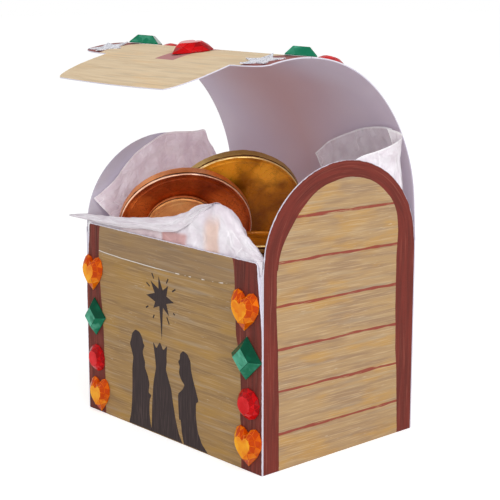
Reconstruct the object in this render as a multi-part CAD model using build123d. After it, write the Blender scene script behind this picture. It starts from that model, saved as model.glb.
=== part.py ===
from build123d import *
import os
from math import atan2, cos, pi, radians, sin

# Treasure chest box of painted white card, standing open and filled with foil coins in tissue paper.
# The origin is the centre of the floor's underside. Right is +X, the front is -Y, up is +Z.

# Card and box, in millimetres
card = 0.6
box_width = 140.0
box_depth = 105.0
front_height = 103.0
spring_height = 100.5
arch_rise = 45.5
arch_clearance = 0.5

# The front panel draws in a little above this share of its height, up to its rounded rim
rim_draw_in = 3.5
rim_corner_radius = 3.0
draw_in_start_share = 0.66

# Glue tabs inside the corners
tab_width = 12.0
tab_end_gap = 3.0
tab_corner_cut = 6.0

# Lid: one card strip that runs on from the back panel, taken as short strips that hinge on each other
strip_length = 20.6
strip_gap = 0.15
lid_lean_deg = 4.0
strip_turns_deg = (0.0, 15.0, 13.0, 15.0, 16.0, 16.0, 14.0, 12.0)

# Tuck flap at the lid's front edge
flap_depth = 34.5
flap_root_width = 95.0
flap_shoulder_width = 95.6
flap_front_width = 85.8
flap_shoulder_share = 0.52
flap_bend_deg = 2.0

# Glued gems: outline sizes and full heights
heart_width = 19.6
heart_height = 19.0
diamond_width = 21.4
diamond_height = 21.4
round_gem_diameter = 16.0
round_gem_sides = 12
gem_height = 4.6
glue_gap = 0.1
big_heart_width = 23.0
big_heart_height = 23.0
big_heart_rise = 6.0
star_radius = 11.0
star_waist_share = 0.5
star_thickness = 0.9

# A gem's facet rings from its back up: shares of its outline and of its height
gem_ring_shares = ((1.0, 0.0), (1.0, 0.26), (0.8, 0.74), (0.52, 1.0))

# Half a heart's outline from its cleft round to its point, in shares of its width and height
heart_shares = (
    (0.0, 0.26), (0.13, 0.42), (0.3, 0.47), (0.44, 0.38), (0.5, 0.2), (0.47, 0.0), (0.34, -0.2), (0.0, -0.53),
)

# Gem places on the front: across in shares of the box width, up in shares of the front height
left_column_shares = ((-0.452, 0.745), (-0.444, 0.512), (-0.439, 0.29), (-0.421, 0.1))
right_column_shares = ((0.416, 0.77), (0.424, 0.544), (0.434, 0.328), (0.433, 0.126))
column_kinds = ("heart_upper", "diamond", "round", "heart_lower")

# Gem places on the lid: across in shares of the box width, along in shares of the strip that carries them
lid_side_share = 0.421
star_strip_share = 0.52
lid_diamond_strip_share = 0.42
lid_round_strip_share = 0.5
big_heart_strip_share = 0.3

# Foil coins
big_coin_radius = 35.0
big_coin_thickness = 6.5
small_coin_radius = 19.0
small_coin_thickness = 4.0
lower_coin_radius = 24.0
lower_coin_thickness = 5.0
coin_edge_bevel = 1.0
coin_lip_width = 2.6
coin_recess = 0.7

# Copper coin: its face's centre across the box, back from the front panel and up from the tissue bed
copper_across_share = -0.206
copper_from_front = 34.6
copper_above_bed = 7.8
copper_turn_deg = 55.0
copper_lean_deg = 26.5

# Gold coin: from the back panel, then behind and above the copper coin's face
gold_from_back = 42.2
gold_behind_copper = 10.1
gold_above_copper = 4.3
gold_turn_deg = 57.0
gold_lean_deg = 29.5

# Small coins: on the copper coin's face, and flat on the bed
small_coin_across = -2.1
small_coin_up = 2.6
upper_flat_share = 0.162
upper_flat_from_front = 40.5
lower_flat_share = 0.257
lower_flat_from_front = 27.9

# Tissue paper: soft forms, kept clear of their neighbours
soft_gap = 0.3
tissue_thickness = 1.0
bed_side_gap = 4.4
bed_below_rim = 10.0
bed_corner_radius = 6.0
tissue_root = 9.0

# Front tissue edge: across in shares of the box width, up in shares of the front height
front_tissue_shares = (
    (-0.479, 1.02), (-0.3, 1.052), (-0.17, 1.085), (-0.035, 1.112), (0.06, 1.14), (0.15, 1.19), (0.228, 1.22),
    (0.3, 1.214), (0.37, 1.13), (0.44, 1.06), (0.475, 1.02),
)
front_tip_shares = (
    (-0.38, -0.478), (-0.478, -0.478), (-0.5, -0.511), (-0.571, -0.535), (-0.44, -0.522),
)
front_tip_rise = 0.7

# Tissue edges inside the ends: along in shares of the box depth, up from the spring line in shares of the arch
left_tissue_shares = (
    (-0.441, 0.297), (-0.32, 0.469), (-0.223, 0.623), (-0.091, 0.836), (-0.034, 0.942), (0.098, 0.951),
    (0.281, 0.974), (0.317, 0.822), (0.359, 0.693), (0.44, 0.327),
)
right_tissue_shares = ((0.05, 0.802), (0.14, 0.983), (0.24, 1.051), (0.33, 1.051), (0.36, 0.621))

# Tissue leaf at the back: across in shares of the box width, up from the spring line in strip lengths
back_tissue_shares = (
    (0.02, 1.62), (0.08, 1.97), (0.19, 2.37), (0.3, 2.42), (0.4, 2.4), (0.521, 2.61), (0.4915, 1.67),
)
back_tissue_lid_gap = 5.45

half_width = box_width / 2
half_depth = box_depth / 2
inner_half_width = half_width - card
inner_half_depth = half_depth - card
strip_count = len(strip_turns_deg)
bed_top = front_height - bed_below_rim
tissue_foot = bed_top - tissue_root


def make_box(x0, x1, y0, y1, z0, z1):
    """A plain block between two corners."""
    block = Box(x1 - x0, y1 - y0, z1 - z0, align=(Align.MIN, Align.MIN, Align.MIN))
    return Pos(x0, y0, z0) * block


def make_floor_panel():
    return make_box(-inner_half_width, inner_half_width, -inner_half_depth, inner_half_depth, 0, card)


def make_front_panel():
    """Full-width front, a little narrower towards its rim, with rounded rim corners."""
    rim_half = half_width - rim_draw_in
    start = front_height * draw_in_start_share
    outline = Polyline(
        (-half_width, 0), (half_width, 0), (half_width, start), (rim_half, front_height),
        (-rim_half, front_height), (-half_width, start), close=True,
    )
    face = make_face(outline)
    rim_corners = face.vertices().group_by(Axis.Y)[-1]
    face = fillet(rim_corners, rim_corner_radius)
    outside = Plane(origin=(0, -half_depth, 0), x_dir=(1, 0, 0), z_dir=(0, -1, 0))
    return extrude(outside * face, -card)


def make_back_panel():
    return make_box(-half_width, half_width, inner_half_depth, half_depth, 0, spring_height - strip_gap)


def make_end_panel(side):
    """Tombstone end: straight up to the spring line, then half an ellipse that the closed lid lies over."""
    arch_half = inner_half_depth - arch_clearance
    wall = make_face(Polyline(
        (-inner_half_depth, 0), (inner_half_depth, 0), (inner_half_depth, spring_height - arch_clearance),
        (arch_half, spring_height), (-arch_half, spring_height),
        (-inner_half_depth, spring_height - arch_clearance), close=True,
    ))
    whole_arch = Pos(0, spring_height) * Ellipse(arch_half, arch_rise)
    below = Pos(0, spring_height) * Rectangle(box_depth, arch_rise, align=(Align.CENTER, Align.MAX))
    outline = wall + (whole_arch - below)
    inner_x = side * inner_half_width
    return extrude(Plane(origin=(inner_x, 0, 0), x_dir=(0, 1, 0), z_dir=(1, 0, 0)) * outline, side * card)


def make_corner_tab(side, end):
    """Upright glue tab, folded from an end panel and glued to the inside of the front or back panel."""
    foot = card + tab_end_gap
    head = spring_height - tab_end_gap
    outline = make_face(Polyline(
        (0, foot), (tab_width, foot + tab_corner_cut), (tab_width, head - tab_corner_cut), (0, head), close=True,
    ))
    corner = (side * inner_half_width, end * inner_half_depth, 0)
    plane = Plane(origin=corner, x_dir=(-side, 0, 0), z_dir=(0, side, 0))
    return extrude(plane * outline, -side * end * card)


def make_floor_tab(side):
    """Glue tab along an end panel's foot, glued down on the floor panel."""
    reach = inner_half_depth - tab_end_gap
    outline = make_face(Polyline(
        (0, -reach), (tab_width, tab_corner_cut - reach), (tab_width, reach - tab_corner_cut), (0, reach), close=True,
    ))
    plane = Plane(origin=(side * inner_half_width, 0, card), x_dir=(-side, 0, 0), z_dir=(0, 0, 1))
    return extrude(plane * outline, card)


def strip_starts():
    """Start point and direction of each lid strip along the lid's inner face, with the fold at the end."""
    y = inner_half_depth
    z = spring_height
    angle = lid_lean_deg
    starts = [(y, z, angle)]
    for turn in strip_turns_deg:
        y, z = along_strip((y, z, angle), turn, strip_length)
        angle = angle + turn
        starts.append((y, z, angle))
    return starts


def along_strip(start, turn, run):
    """The point at a run along a strip's inner face, a flat stretch or an arc of even bend."""
    y, z, angle = start
    if turn == 0:
        return y - run * sin(radians(angle)), z + run * cos(radians(angle))
    radius = strip_length / radians(turn)
    end_angle = radians(angle + turn * run / strip_length)
    middle_y = y - radius * cos(radians(angle))
    middle_z = z - radius * sin(radians(angle))
    return middle_y + radius * cos(end_angle), middle_z + radius * sin(end_angle)


def strip_outline_points(start, turn, run):
    """Inner and outer point of the card at a run along a strip."""
    y, z = along_strip(start, turn, run)
    angle = radians(start[2] + turn * run / strip_length)
    return (y, z), (y + card * cos(angle), z + card * sin(angle))


def make_lid_strip(number):
    """One strip of the bowed lid, the full width of the box."""
    start = strip_starts()[number]
    turn = strip_turns_deg[number]
    first_run = strip_gap / 2
    last_run = strip_length - strip_gap / 2
    first_in, first_out = strip_outline_points(start, turn, first_run)
    last_in, last_out = strip_outline_points(start, turn, last_run)
    if turn == 0:
        outline = Polyline(first_in, last_in, last_out, first_out, close=True)
    else:
        mid_in, mid_out = strip_outline_points(start, turn, strip_length / 2)
        outline = ThreePointArc(first_in, mid_in, last_in) + Line(last_in, last_out)
        outline += ThreePointArc(last_out, mid_out, first_out) + Line(first_out, first_in)
    section = Plane.YZ * make_face(outline)
    return extrude(section, half_width, both=True)


def lid_plane(number, share, lift):
    """A plane on the lid's painted side, at a share of a strip's length; its -Y runs towards the flap."""
    start = strip_starts()[number]
    turn = strip_turns_deg[number]
    y, z = along_strip(start, turn, strip_length * share)
    angle = radians(start[2] + turn * share)
    rise = card + lift
    origin = (0, y + rise * cos(angle), z + rise * sin(angle))
    return Plane(origin=origin, x_dir=(1, 0, 0), z_dir=(0, cos(angle), sin(angle)))


def make_tuck_flap():
    """Flap along the fold at the lid's front edge: straight sides, then drawn in to its front."""
    y, z, angle = strip_starts()[strip_count]
    lean = radians(angle + flap_bend_deg)
    plane = Plane(origin=(0, y, z), x_dir=(1, 0, 0), z_dir=(0, cos(lean), sin(lean)))
    root = strip_gap / 2
    shoulder = flap_depth * flap_shoulder_share
    outline = make_face(Polyline(
        (-flap_root_width / 2, -root), (-flap_shoulder_width / 2, -shoulder), (-flap_front_width / 2, -flap_depth),
        (flap_front_width / 2, -flap_depth), (flap_shoulder_width / 2, -shoulder), (flap_root_width / 2, -root),
        close=True,
    ))
    return extrude(plane * outline, card)


def heart_points(width, height):
    right = [(width * x, height * y) for x, y in heart_shares]
    left = [(-x, y) for x, y in reversed(right[1:-1])]
    return right + left


def diamond_points(width, height):
    return [(width / 2, 0), (0, height / 2), (-width / 2, 0), (0, -height / 2)]


def round_points(diameter):
    step = 2 * pi / round_gem_sides
    return [(diameter / 2 * cos(step * i), diameter / 2 * sin(step * i)) for i in range(round_gem_sides)]


def make_gem(points, height):
    """Cut gem: an upright girdle, two rows of sloped facets and a flat table."""
    rings = [[(x * share, y * share, height * up) for x, y in points] for share, up in gem_ring_shares]
    outlines = [rings[0], rings[-1]]
    for lower, upper in zip(rings, rings[1:]):
        for i in range(len(points)):
            outlines.append((lower[i - 1], lower[i], upper[i], upper[i - 1]))
    facets = [make_face(Polyline(*outline, close=True)) for outline in outlines]
    return Solid(Shell(facets))


def make_star():
    """Flat five-pointed star sticker."""
    step = pi / 5
    points = []
    for i in range(10):
        reach = star_radius if i % 2 == 0 else star_radius * star_waist_share
        points.append((reach * sin(step * i), reach * cos(step * i)))
    return extrude(make_face(Polyline(*points, close=True)), star_thickness)


def front_plane(across_share, up_share):
    """A plane on the front panel's painted side, facing out, with its Y up."""
    origin = (box_width * across_share, -half_depth - glue_gap, front_height * up_share)
    return Plane(origin=origin, x_dir=(1, 0, 0), z_dir=(0, -1, 0))


def gem_of_kind(kind):
    if kind.startswith("heart"):
        return make_gem(heart_points(heart_width, heart_height), gem_height)
    if kind == "diamond":
        return make_gem(diamond_points(diamond_width, diamond_height), gem_height)
    return make_gem(round_points(round_gem_diameter), gem_height)


def make_front_gems():
    """Four gems down each side of the front, in two hand-placed columns."""
    gems = {}
    for side, places in (("left", left_column_shares), ("right", right_column_shares)):
        for kind, (across, up) in zip(column_kinds, places):
            gems[f"{side}_{kind}_gem"] = front_plane(across, up) * gem_of_kind(kind)
    return gems


def make_lid_gems():
    """Stars, diamonds and round gems along both edges of the lid, and a large heart over the middle strap."""
    last = strip_count - 1
    heart = make_gem(heart_points(big_heart_width, big_heart_height), big_heart_rise)
    gems = {"lid_heart_gem": lid_plane(last, big_heart_strip_share, glue_gap) * heart}
    for side, sign in (("left", -1), ("right", 1)):
        across = Pos(sign * box_width * lid_side_share, 0, 0)
        star = across * Rot(0, 0, sign * 90) * make_star()
        gems[f"lid_{side}_star"] = lid_plane(last, star_strip_share, glue_gap) * star
        diamond = across * gem_of_kind("diamond")
        gems[f"lid_{side}_diamond_gem"] = lid_plane(last - 1, lid_diamond_strip_share, glue_gap) * diamond
        stone = across * gem_of_kind("round")
        gems[f"lid_{side}_round_gem"] = lid_plane(last - 2, lid_round_strip_share, glue_gap) * stone
    return gems


def make_coin(radius, thickness):
    """Foil coin with a bevelled edge and a raised lip round both faces; its front face lies at zero."""
    lip_in = radius - coin_lip_width
    half = make_face(Polyline(
        (0, -coin_recess), (lip_in - coin_recess, -coin_recess), (lip_in, 0), (radius, 0),
        (radius, -thickness), (lip_in, -thickness), (lip_in - coin_recess, coin_recess - thickness),
        (0, coin_recess - thickness), close=True,
    ))
    edge_corners = half.vertices().group_by(Axis.X)[-1]
    half = chamfer(edge_corners, coin_edge_bevel)
    return revolve(Plane.XZ * half, Axis.Z)


def leaning_plane(origin, turn_deg, lean_deg):
    """A coin's face plane: turned from the front towards the right, its top leaning forward."""
    turn = radians(turn_deg)
    lean = radians(lean_deg)
    normal = (sin(turn) * cos(lean), -cos(turn) * cos(lean), -sin(lean))
    return Plane(origin=origin, x_dir=(cos(turn), sin(turn), 0), z_dir=normal)


def gold_origin(copper):
    """Behind the copper coin, slid along it until it lies a set way from the back panel."""
    behind = copper.origin + copper.y_dir * gold_above_copper - copper.z_dir * gold_behind_copper
    slide = (inner_half_depth - gold_from_back - behind.Y) / copper.x_dir.Y
    return behind + copper.x_dir * slide


def coin_places():
    """Each coin's name, plane, radius and thickness."""
    copper_origin = (box_width * copper_across_share, copper_from_front - inner_half_depth, bed_top + copper_above_bed)
    copper = leaning_plane(copper_origin, copper_turn_deg, copper_lean_deg)
    gold = leaning_plane(gold_origin(copper), gold_turn_deg, gold_lean_deg)
    seat = small_coin_thickness + soft_gap - coin_recess
    small = copper * Plane(origin=(small_coin_across, small_coin_up, seat), z_dir=(0, 0, 1))
    lower_face = bed_top + soft_gap + lower_coin_thickness
    upper_face = lower_face + soft_gap + small_coin_thickness
    lower_origin = (box_width * lower_flat_share, lower_flat_from_front - inner_half_depth, lower_face)
    upper_origin = (box_width * upper_flat_share, upper_flat_from_front - inner_half_depth, upper_face)
    return {
        "copper_coin_large": (copper, big_coin_radius, big_coin_thickness),
        "copper_coin_small": (small, small_coin_radius, small_coin_thickness),
        "gold_coin_large": (gold, big_coin_radius, big_coin_thickness),
        "gold_coin_flat_upper": (Plane(origin=upper_origin), small_coin_radius, small_coin_thickness),
        "gold_coin_flat_lower": (Plane(origin=lower_origin), lower_coin_radius, lower_coin_thickness),
    }


def make_coins():
    return {name: plane * make_coin(radius, thick) for name, (plane, radius, thick) in coin_places().items()}


def make_tissue_bed():
    """Crumpled tissue filling the box, with a slot for each coin that stands in it."""
    side = inner_half_width - bed_side_gap
    end = inner_half_depth - bed_side_gap
    foot = 2 * card + soft_gap
    bed = make_box(-side, side, -end, end, foot, bed_top)
    bed = fillet(bed.edges().filter_by(Axis.Z), bed_corner_radius)
    places = coin_places()
    for name in ("copper_coin_large", "copper_coin_small", "gold_coin_large"):
        plane, radius, thickness = places[name]
        room = thickness + 2 * soft_gap
        hollow = Cylinder(radius + soft_gap, room, align=(Align.CENTER, Align.CENTER, Align.MIN))
        bed -= plane * Pos(0, 0, -thickness - soft_gap) * hollow
    return bed.solids().sort_by(SortBy.VOLUME)[-1]


def edge_outline(top):
    """Closed outline of a standing sheet: its wavy top edge, down to a level foot."""
    return make_face(Polyline((top[0][0], tissue_foot), *top, (top[-1][0], tissue_foot), close=True))


def make_tissue_front():
    """Tissue standing inside the front rim, with a corner that sticks out over the rim at the left."""
    face = edge_outline([(box_width * x, front_height * up) for x, up in front_tissue_shares])
    inner_y = -(inner_half_depth - card - soft_gap)
    band = extrude(Plane(origin=(0, inner_y, 0), x_dir=(1, 0, 0), z_dir=(0, -1, 0)) * face, -tissue_thickness)
    tip = make_face(Polyline(*[(box_width * x, box_depth * y) for x, y in front_tip_shares], close=True))
    return band + extrude(Pos(0, 0, front_height + front_tip_rise) * tip, tissue_thickness)


def make_side_tissue(shares, side):
    """A sheet standing against the inside of an end panel."""
    face = edge_outline([(box_depth * y, spring_height + arch_rise * up) for y, up in shares])
    inner_x = side * (inner_half_width - soft_gap)
    plane = Plane(origin=(inner_x, 0, 0), x_dir=(0, 1, 0), z_dir=(1, 0, 0))
    return extrude(plane * face, -side * tissue_thickness)


def make_tissue_back_right():
    """Tissue standing in the back right corner: one leaf along the back under the lid, one along the end."""
    rise = spring_height - tissue_foot
    top = [(box_width * x, rise + strip_length * up) for x, up in back_tissue_shares]
    corner = inner_half_width - 2 * soft_gap
    face = make_face(Polyline((top[0][0], 0), *top, (corner, 0), close=True))
    foot_y = inner_half_depth - card - soft_gap
    lid_y, lid_z, _ = strip_starts()[2]
    lean = atan2(foot_y - lid_y + back_tissue_lid_gap, lid_z - tissue_foot)
    plane = Plane(origin=(0, foot_y, tissue_foot), x_dir=(1, 0, 0), z_dir=(0, -cos(lean), -sin(lean)))
    back_leaf = extrude(plane * face, tissue_thickness)
    return Compound(children=[back_leaf.solid(), make_side_tissue(right_tissue_shares, 1).solid()])


def all_pieces():
    """Every piece under its node name."""
    pieces = {
        "floor_panel": make_floor_panel(),
        "front_panel": make_front_panel(),
        "back_panel": make_back_panel(),
        "left_end_panel": make_end_panel(-1),
        "right_end_panel": make_end_panel(1),
        "front_left_glue_tab": make_corner_tab(-1, -1),
        "front_right_glue_tab": make_corner_tab(1, -1),
        "back_left_glue_tab": make_corner_tab(-1, 1),
        "back_right_glue_tab": make_corner_tab(1, 1),
        "left_floor_tab": make_floor_tab(-1),
        "right_floor_tab": make_floor_tab(1),
        "tuck_flap": make_tuck_flap(),
        "tissue_bed": make_tissue_bed(),
        "tissue_front": make_tissue_front(),
        "tissue_back_left": make_side_tissue(left_tissue_shares, -1),
        "tissue_back_right": make_tissue_back_right(),
    }
    for number in range(strip_count):
        pieces[f"lid_strip_{number + 1}"] = make_lid_strip(number)
    pieces.update(make_front_gems())
    pieces.update(make_lid_gems())
    pieces.update(make_coins())
    return pieces


def write_pieces():
    os.makedirs("parts", exist_ok=True)
    for name, piece in all_pieces().items():
        export_step(piece, f"parts/{name}.step")


def print_hinges():
    """The hinge lines of the lid, on its inner face, for checking against the joints."""
    for number, (y, z, angle) in enumerate(strip_starts()):
        print(f"hinge {number}: y {y:.3f} z {z:.3f} direction {angle:.1f}")


write_pieces()
print_hinges()
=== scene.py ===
"""Treasure chest box of painted card, open and filled with foil coins in tissue paper.

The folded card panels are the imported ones, painted here. The bowed lid, tuck flap, gems, stars, coins,
tissue paper and the inked picture are modelled here, in metres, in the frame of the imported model.
"""
from math import atan2, cos, pi, radians, sin, sqrt

import bmesh
import bpy
from mathutils import Matrix, Vector


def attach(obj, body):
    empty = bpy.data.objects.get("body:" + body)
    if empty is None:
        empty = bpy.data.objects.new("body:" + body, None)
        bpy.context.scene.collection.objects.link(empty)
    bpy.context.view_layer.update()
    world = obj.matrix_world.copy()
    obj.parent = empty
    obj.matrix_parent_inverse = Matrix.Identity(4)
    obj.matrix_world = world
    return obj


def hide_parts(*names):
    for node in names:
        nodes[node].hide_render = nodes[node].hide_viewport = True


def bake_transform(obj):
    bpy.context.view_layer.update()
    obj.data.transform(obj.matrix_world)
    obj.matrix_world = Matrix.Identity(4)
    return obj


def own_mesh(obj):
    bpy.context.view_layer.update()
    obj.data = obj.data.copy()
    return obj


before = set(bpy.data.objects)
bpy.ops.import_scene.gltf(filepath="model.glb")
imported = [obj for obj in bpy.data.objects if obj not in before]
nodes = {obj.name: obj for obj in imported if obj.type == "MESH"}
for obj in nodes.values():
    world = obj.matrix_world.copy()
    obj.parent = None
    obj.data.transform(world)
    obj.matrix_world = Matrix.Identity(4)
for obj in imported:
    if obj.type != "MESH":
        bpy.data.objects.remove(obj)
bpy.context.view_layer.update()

MM = 0.001
CARD = 0.0006
WIDTH = 0.14
DEPTH = 0.105
FRONT = 0.103
SPRING = 0.1005
INSIDE = DEPTH / 2 - CARD
ARCH_HALF = 0.0514
ARCH_RISE = 0.0455
# how near a painted face a point still counts as on it
TOUCH = 0.00005

# The lid: eight stretches of one card, each with its own bend, in degrees
STRETCH = 0.0206
BENDS = (0, 15, 13, 15, 16, 16, 14, 12)
FIRST_LEAN = 4
LID_END = STRETCH * len(BENDS)

bpy.ops.object.select_all(action="DESELECT")


# ---------------------------------------------------------------- at the bench

def take_up(piece):
    """Makes a piece the only one selected."""
    bpy.ops.object.select_all(action="DESELECT")
    piece.select_set(True)
    bpy.context.view_layer.objects.active = piece


def open_piece(piece):
    """Goes into edit mode on one piece."""
    take_up(piece)
    bpy.ops.object.mode_set(mode="EDIT")
    bpy.ops.mesh.select_mode(type="VERT")


def close_piece():
    """Goes back to object mode."""
    bpy.ops.object.mode_set(mode="OBJECT")


def pick(piece, kind, test):
    """Selects the verts, edges or faces that pass the test."""
    bpy.ops.mesh.select_mode(type={"verts": "VERT", "edges": "EDGE", "faces": "FACE"}[kind])
    bpy.ops.mesh.select_all(action="DESELECT")
    shape = bmesh.from_edit_mesh(piece.data)
    for part in getattr(shape, kind):
        part.select_set(bool(test(part)))
    shape.select_flush_mode()
    bmesh.update_edit_mesh(piece.data)


def place_points(piece, where):
    """Moves every point of the open piece to where(its place)."""
    shape = bmesh.from_edit_mesh(piece.data)
    for point in shape.verts:
        point.co = where(point.co.copy())
    bmesh.update_edit_mesh(piece.data)


def lay_outline(piece, places):
    """Moves the points of a new circle, in their order, to the places of an outline."""
    shape = bmesh.from_edit_mesh(piece.data)
    for point, place in zip(shape.verts, places):
        point.co = place
    bmesh.update_edit_mesh(piece.data)


def turn_outwards():
    """Turns all the open piece's faces outwards."""
    bpy.ops.mesh.select_all(action="SELECT")
    bpy.ops.mesh.normals_make_consistent(inside=False)


def work(piece, kind, **settings):
    """Adds a modifier and applies it."""
    take_up(piece)
    step_of_work = piece.modifiers.new(kind.lower(), kind)
    for key, value in settings.items():
        setattr(step_of_work, key, value)
    bpy.ops.object.modifier_apply(modifier=step_of_work.name)


def smooth(piece, degrees=35):
    """Shades a piece smooth, but for edges sharper than so many degrees."""
    take_up(piece)
    bpy.ops.object.shade_smooth_by_angle(angle=radians(degrees))


def copy_to(pattern, name, matrix):
    """A copy with a mesh of its own, put in place by moving its points."""
    piece = pattern.copy()
    piece.data = pattern.data.copy()
    piece.name = name
    piece.data.transform(matrix)
    bpy.context.scene.collection.objects.link(piece)
    return piece


def paint_with(piece, *materials):
    """Gives a piece these materials in place of its own."""
    piece.data.materials.clear()
    for material in materials:
        piece.data.materials.append(material)


def put_away(*patterns):
    """Removes patterns that only their copies stand for."""
    for pattern in patterns:
        bpy.data.objects.remove(pattern)


# ---------------------------------------------------------------- shader nodes

def srgb(red, green, blue):
    """A colour named by its screen values, as the shader takes it."""
    def linear(value):
        value /= 255
        return value / 12.92 if value <= 0.04045 else ((value + 0.055) / 1.055) ** 2.4
    return (linear(red), linear(green), linear(blue), 1.0)


class Amount:
    """A value, colour or place that varies over a surface; arithmetic on amounts adds the nodes for it."""

    def __init__(self, socket):
        self.socket = socket
        self.tree = socket.id_data

    def __add__(self, other):
        return calc("ADD", self, other)

    def __radd__(self, other):
        return calc("ADD", other, self)

    def __sub__(self, other):
        return calc("SUBTRACT", self, other)

    def __rsub__(self, other):
        return calc("SUBTRACT", other, self)

    def __mul__(self, other):
        return calc("MULTIPLY", self, other)

    def __truediv__(self, other):
        return calc("DIVIDE", self, other)

    def __abs__(self):
        return calc("ABSOLUTE", self)

    def __lt__(self, other):
        return calc("LESS_THAN", self, other)

    def __gt__(self, other):
        return calc("GREATER_THAN", self, other)


def tree_of(*values):
    """The node tree that the amounts among these values belong to."""
    return next(value.tree for value in values if isinstance(value, Amount))


def send(amount, socket):
    """Links an amount to what takes it."""
    amount.tree.links.new(amount.socket, socket)


def add(tree, kind, takes=(), **settings):
    """A shader node with its settings and inputs; an input is a plain value or an amount."""
    node = tree.nodes.new("ShaderNode" + kind)
    for key, value in settings.items():
        setattr(node, key, value)
    for socket, value in dict(takes).items():
        if isinstance(value, Amount):
            send(value, node.inputs[socket])
        else:
            node.inputs[socket].default_value = value
    return node


def made(tree, kind, label, takes=(), **settings):
    """What a new node puts out under one label."""
    return Amount(add(tree, kind, takes, **settings).outputs[label])


def calc(operation, *values):
    """Arithmetic on values."""
    return made(tree_of(*values), "Math", 0, enumerate(values), operation=operation)


def calc_place(operation, *values):
    """Arithmetic on places."""
    return made(tree_of(*values), "VectorMath", 0, enumerate(values), operation=operation)


def most(first, second):
    return calc("MAXIMUM", first, second)


def least(first, second):
    return calc("MINIMUM", first, second)


def step(value, low, high):
    """0 below low, 1 above high, smooth between; falls instead where low is above high."""
    takes = {"Value": value, "From Min": low, "From Max": high}
    if low > high:
        takes = {"Value": value, "From Min": high, "From Max": low, "To Min": 1.0, "To Max": 0.0}
    return made(value.tree, "MapRange", "Result", takes, interpolation_type="SMOOTHSTEP")


def between(value, low, high):
    """A value from 0 to 1 brought to lie from low to high."""
    return made(value.tree, "MapRange", 0, {"Value": value, "To Min": low, "To Max": high})


def tint(mask, under, over):
    """The colour over laid on the colour under, where the mask lets it."""
    return made(tree_of(mask, under, over), "Mix", 2, {0: mask, 6: under, 7: over}, data_type="RGBA")


def layered(colour, *layers):
    """Lays each layer's colour over what is there, where its mask lets it."""
    for mask, over in layers:
        colour = tint(mask, colour, over)
    return colour


def on_piece(tree):
    """Where on the piece, in metres from the frame's origin."""
    return made(tree, "TexCoord", "Object")


def point(x, y=0.0):
    """A place on a flat pattern."""
    return made(tree_of(x, y), "CombineXYZ", 0, {0: x, 1: y})


def split(place):
    """A place's x, y and z, or a colour's red, green and blue."""
    return [Amount(part) for part in add(place.tree, "SeparateXYZ", {0: place}).outputs]


def noise(place, scale, detail=2.0, label="Fac"):
    """Cloudy noise, or its colours with the label Color."""
    return made(place.tree, "TexNoise", label, {"Vector": place, "Scale": scale, "Detail": detail})


def grain(place, size, detail=2.0, shift=0.0):
    """Noise whose marks are about as large as size, in metres along each direction."""
    per_metre = [1 / length for length in size]
    moved = calc_place("ADD", calc_place("MULTIPLY", place, per_metre), (shift, shift * 2, shift * 3))
    return noise(moved, 1.0, detail)


def hand_line(value, points):
    """A line drawn by hand through (value, height) points."""
    lows = [min(p[i] for p in points) for i in (0, 1)]
    spans = [max(max(p[i] for p in points) - lows[i], 1e-6) for i in (0, 1)]
    takes = {"Value": value, "From Min": lows[0], "From Max": lows[0] + spans[0]}
    line = add(value.tree, "FloatCurve", {"Value": made(value.tree, "MapRange", "Result", takes)})
    curve = line.mapping.curves[0]
    shares = [((p[0] - lows[0]) / spans[0], (p[1] - lows[1]) / spans[1]) for p in points]
    while len(curve.points) < len(shares):
        curve.points.new(0.5, 0.5)
    for knot, share in zip(curve.points, shares):
        knot.location = share
    line.mapping.update()
    return between(Amount(line.outputs[0]), lows[1], lows[1] + spans[1])


def new_group(name, takes, gives):
    """A node group: its tree, what it takes as amounts, and the sockets for what it gives."""
    tree = bpy.data.node_groups.new(name, "ShaderNodeTree")
    for labels, in_out in ((takes, "INPUT"), (gives, "OUTPUT")):
        for label, kind in labels:
            tree.interface.new_socket(name=label, in_out=in_out, socket_type="NodeSocket" + kind)
    taken = tree.nodes.new("NodeGroupInput").outputs
    return tree, {label: Amount(taken[label]) for label, _ in takes}, tree.nodes.new("NodeGroupOutput").inputs


def use(group, **takes):
    """Places a node group, and returns what it gives by label."""
    node = tree_of(*takes.values()).nodes.new("ShaderNodeGroup")
    node.node_tree = group
    for label, value in takes.items():
        if isinstance(value, Amount):
            send(value, node.inputs[label])
        else:
            node.inputs[label].default_value = value
    return {given.name: Amount(given) for given in node.outputs}


def new_material(name, **constants):
    """A material, its node tree and its shader, set to some constants."""
    material = bpy.data.materials.new(name)
    material.use_nodes = True
    shader = material.node_tree.nodes["Principled BSDF"]
    for label, value in constants.items():
        shader.inputs[label.replace("_", " ")].default_value = value
    return material, material.node_tree, shader


def finish_shader(shader, colour, roughness=None, height=None, strength=0.5, depth=0.0003):
    """Gives a shader its colour, and its roughness and relief where it has them."""
    send(colour, shader.inputs["Base Color"])
    if roughness is not None:
        send(roughness, shader.inputs["Roughness"])
    if height is not None:
        bump = made(height.tree, "Bump", 0, {"Height": height, "Strength": strength, "Distance": depth})
        send(bump, shader.inputs["Normal"])


# ---------------------------------------------------------------- shared effects

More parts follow.
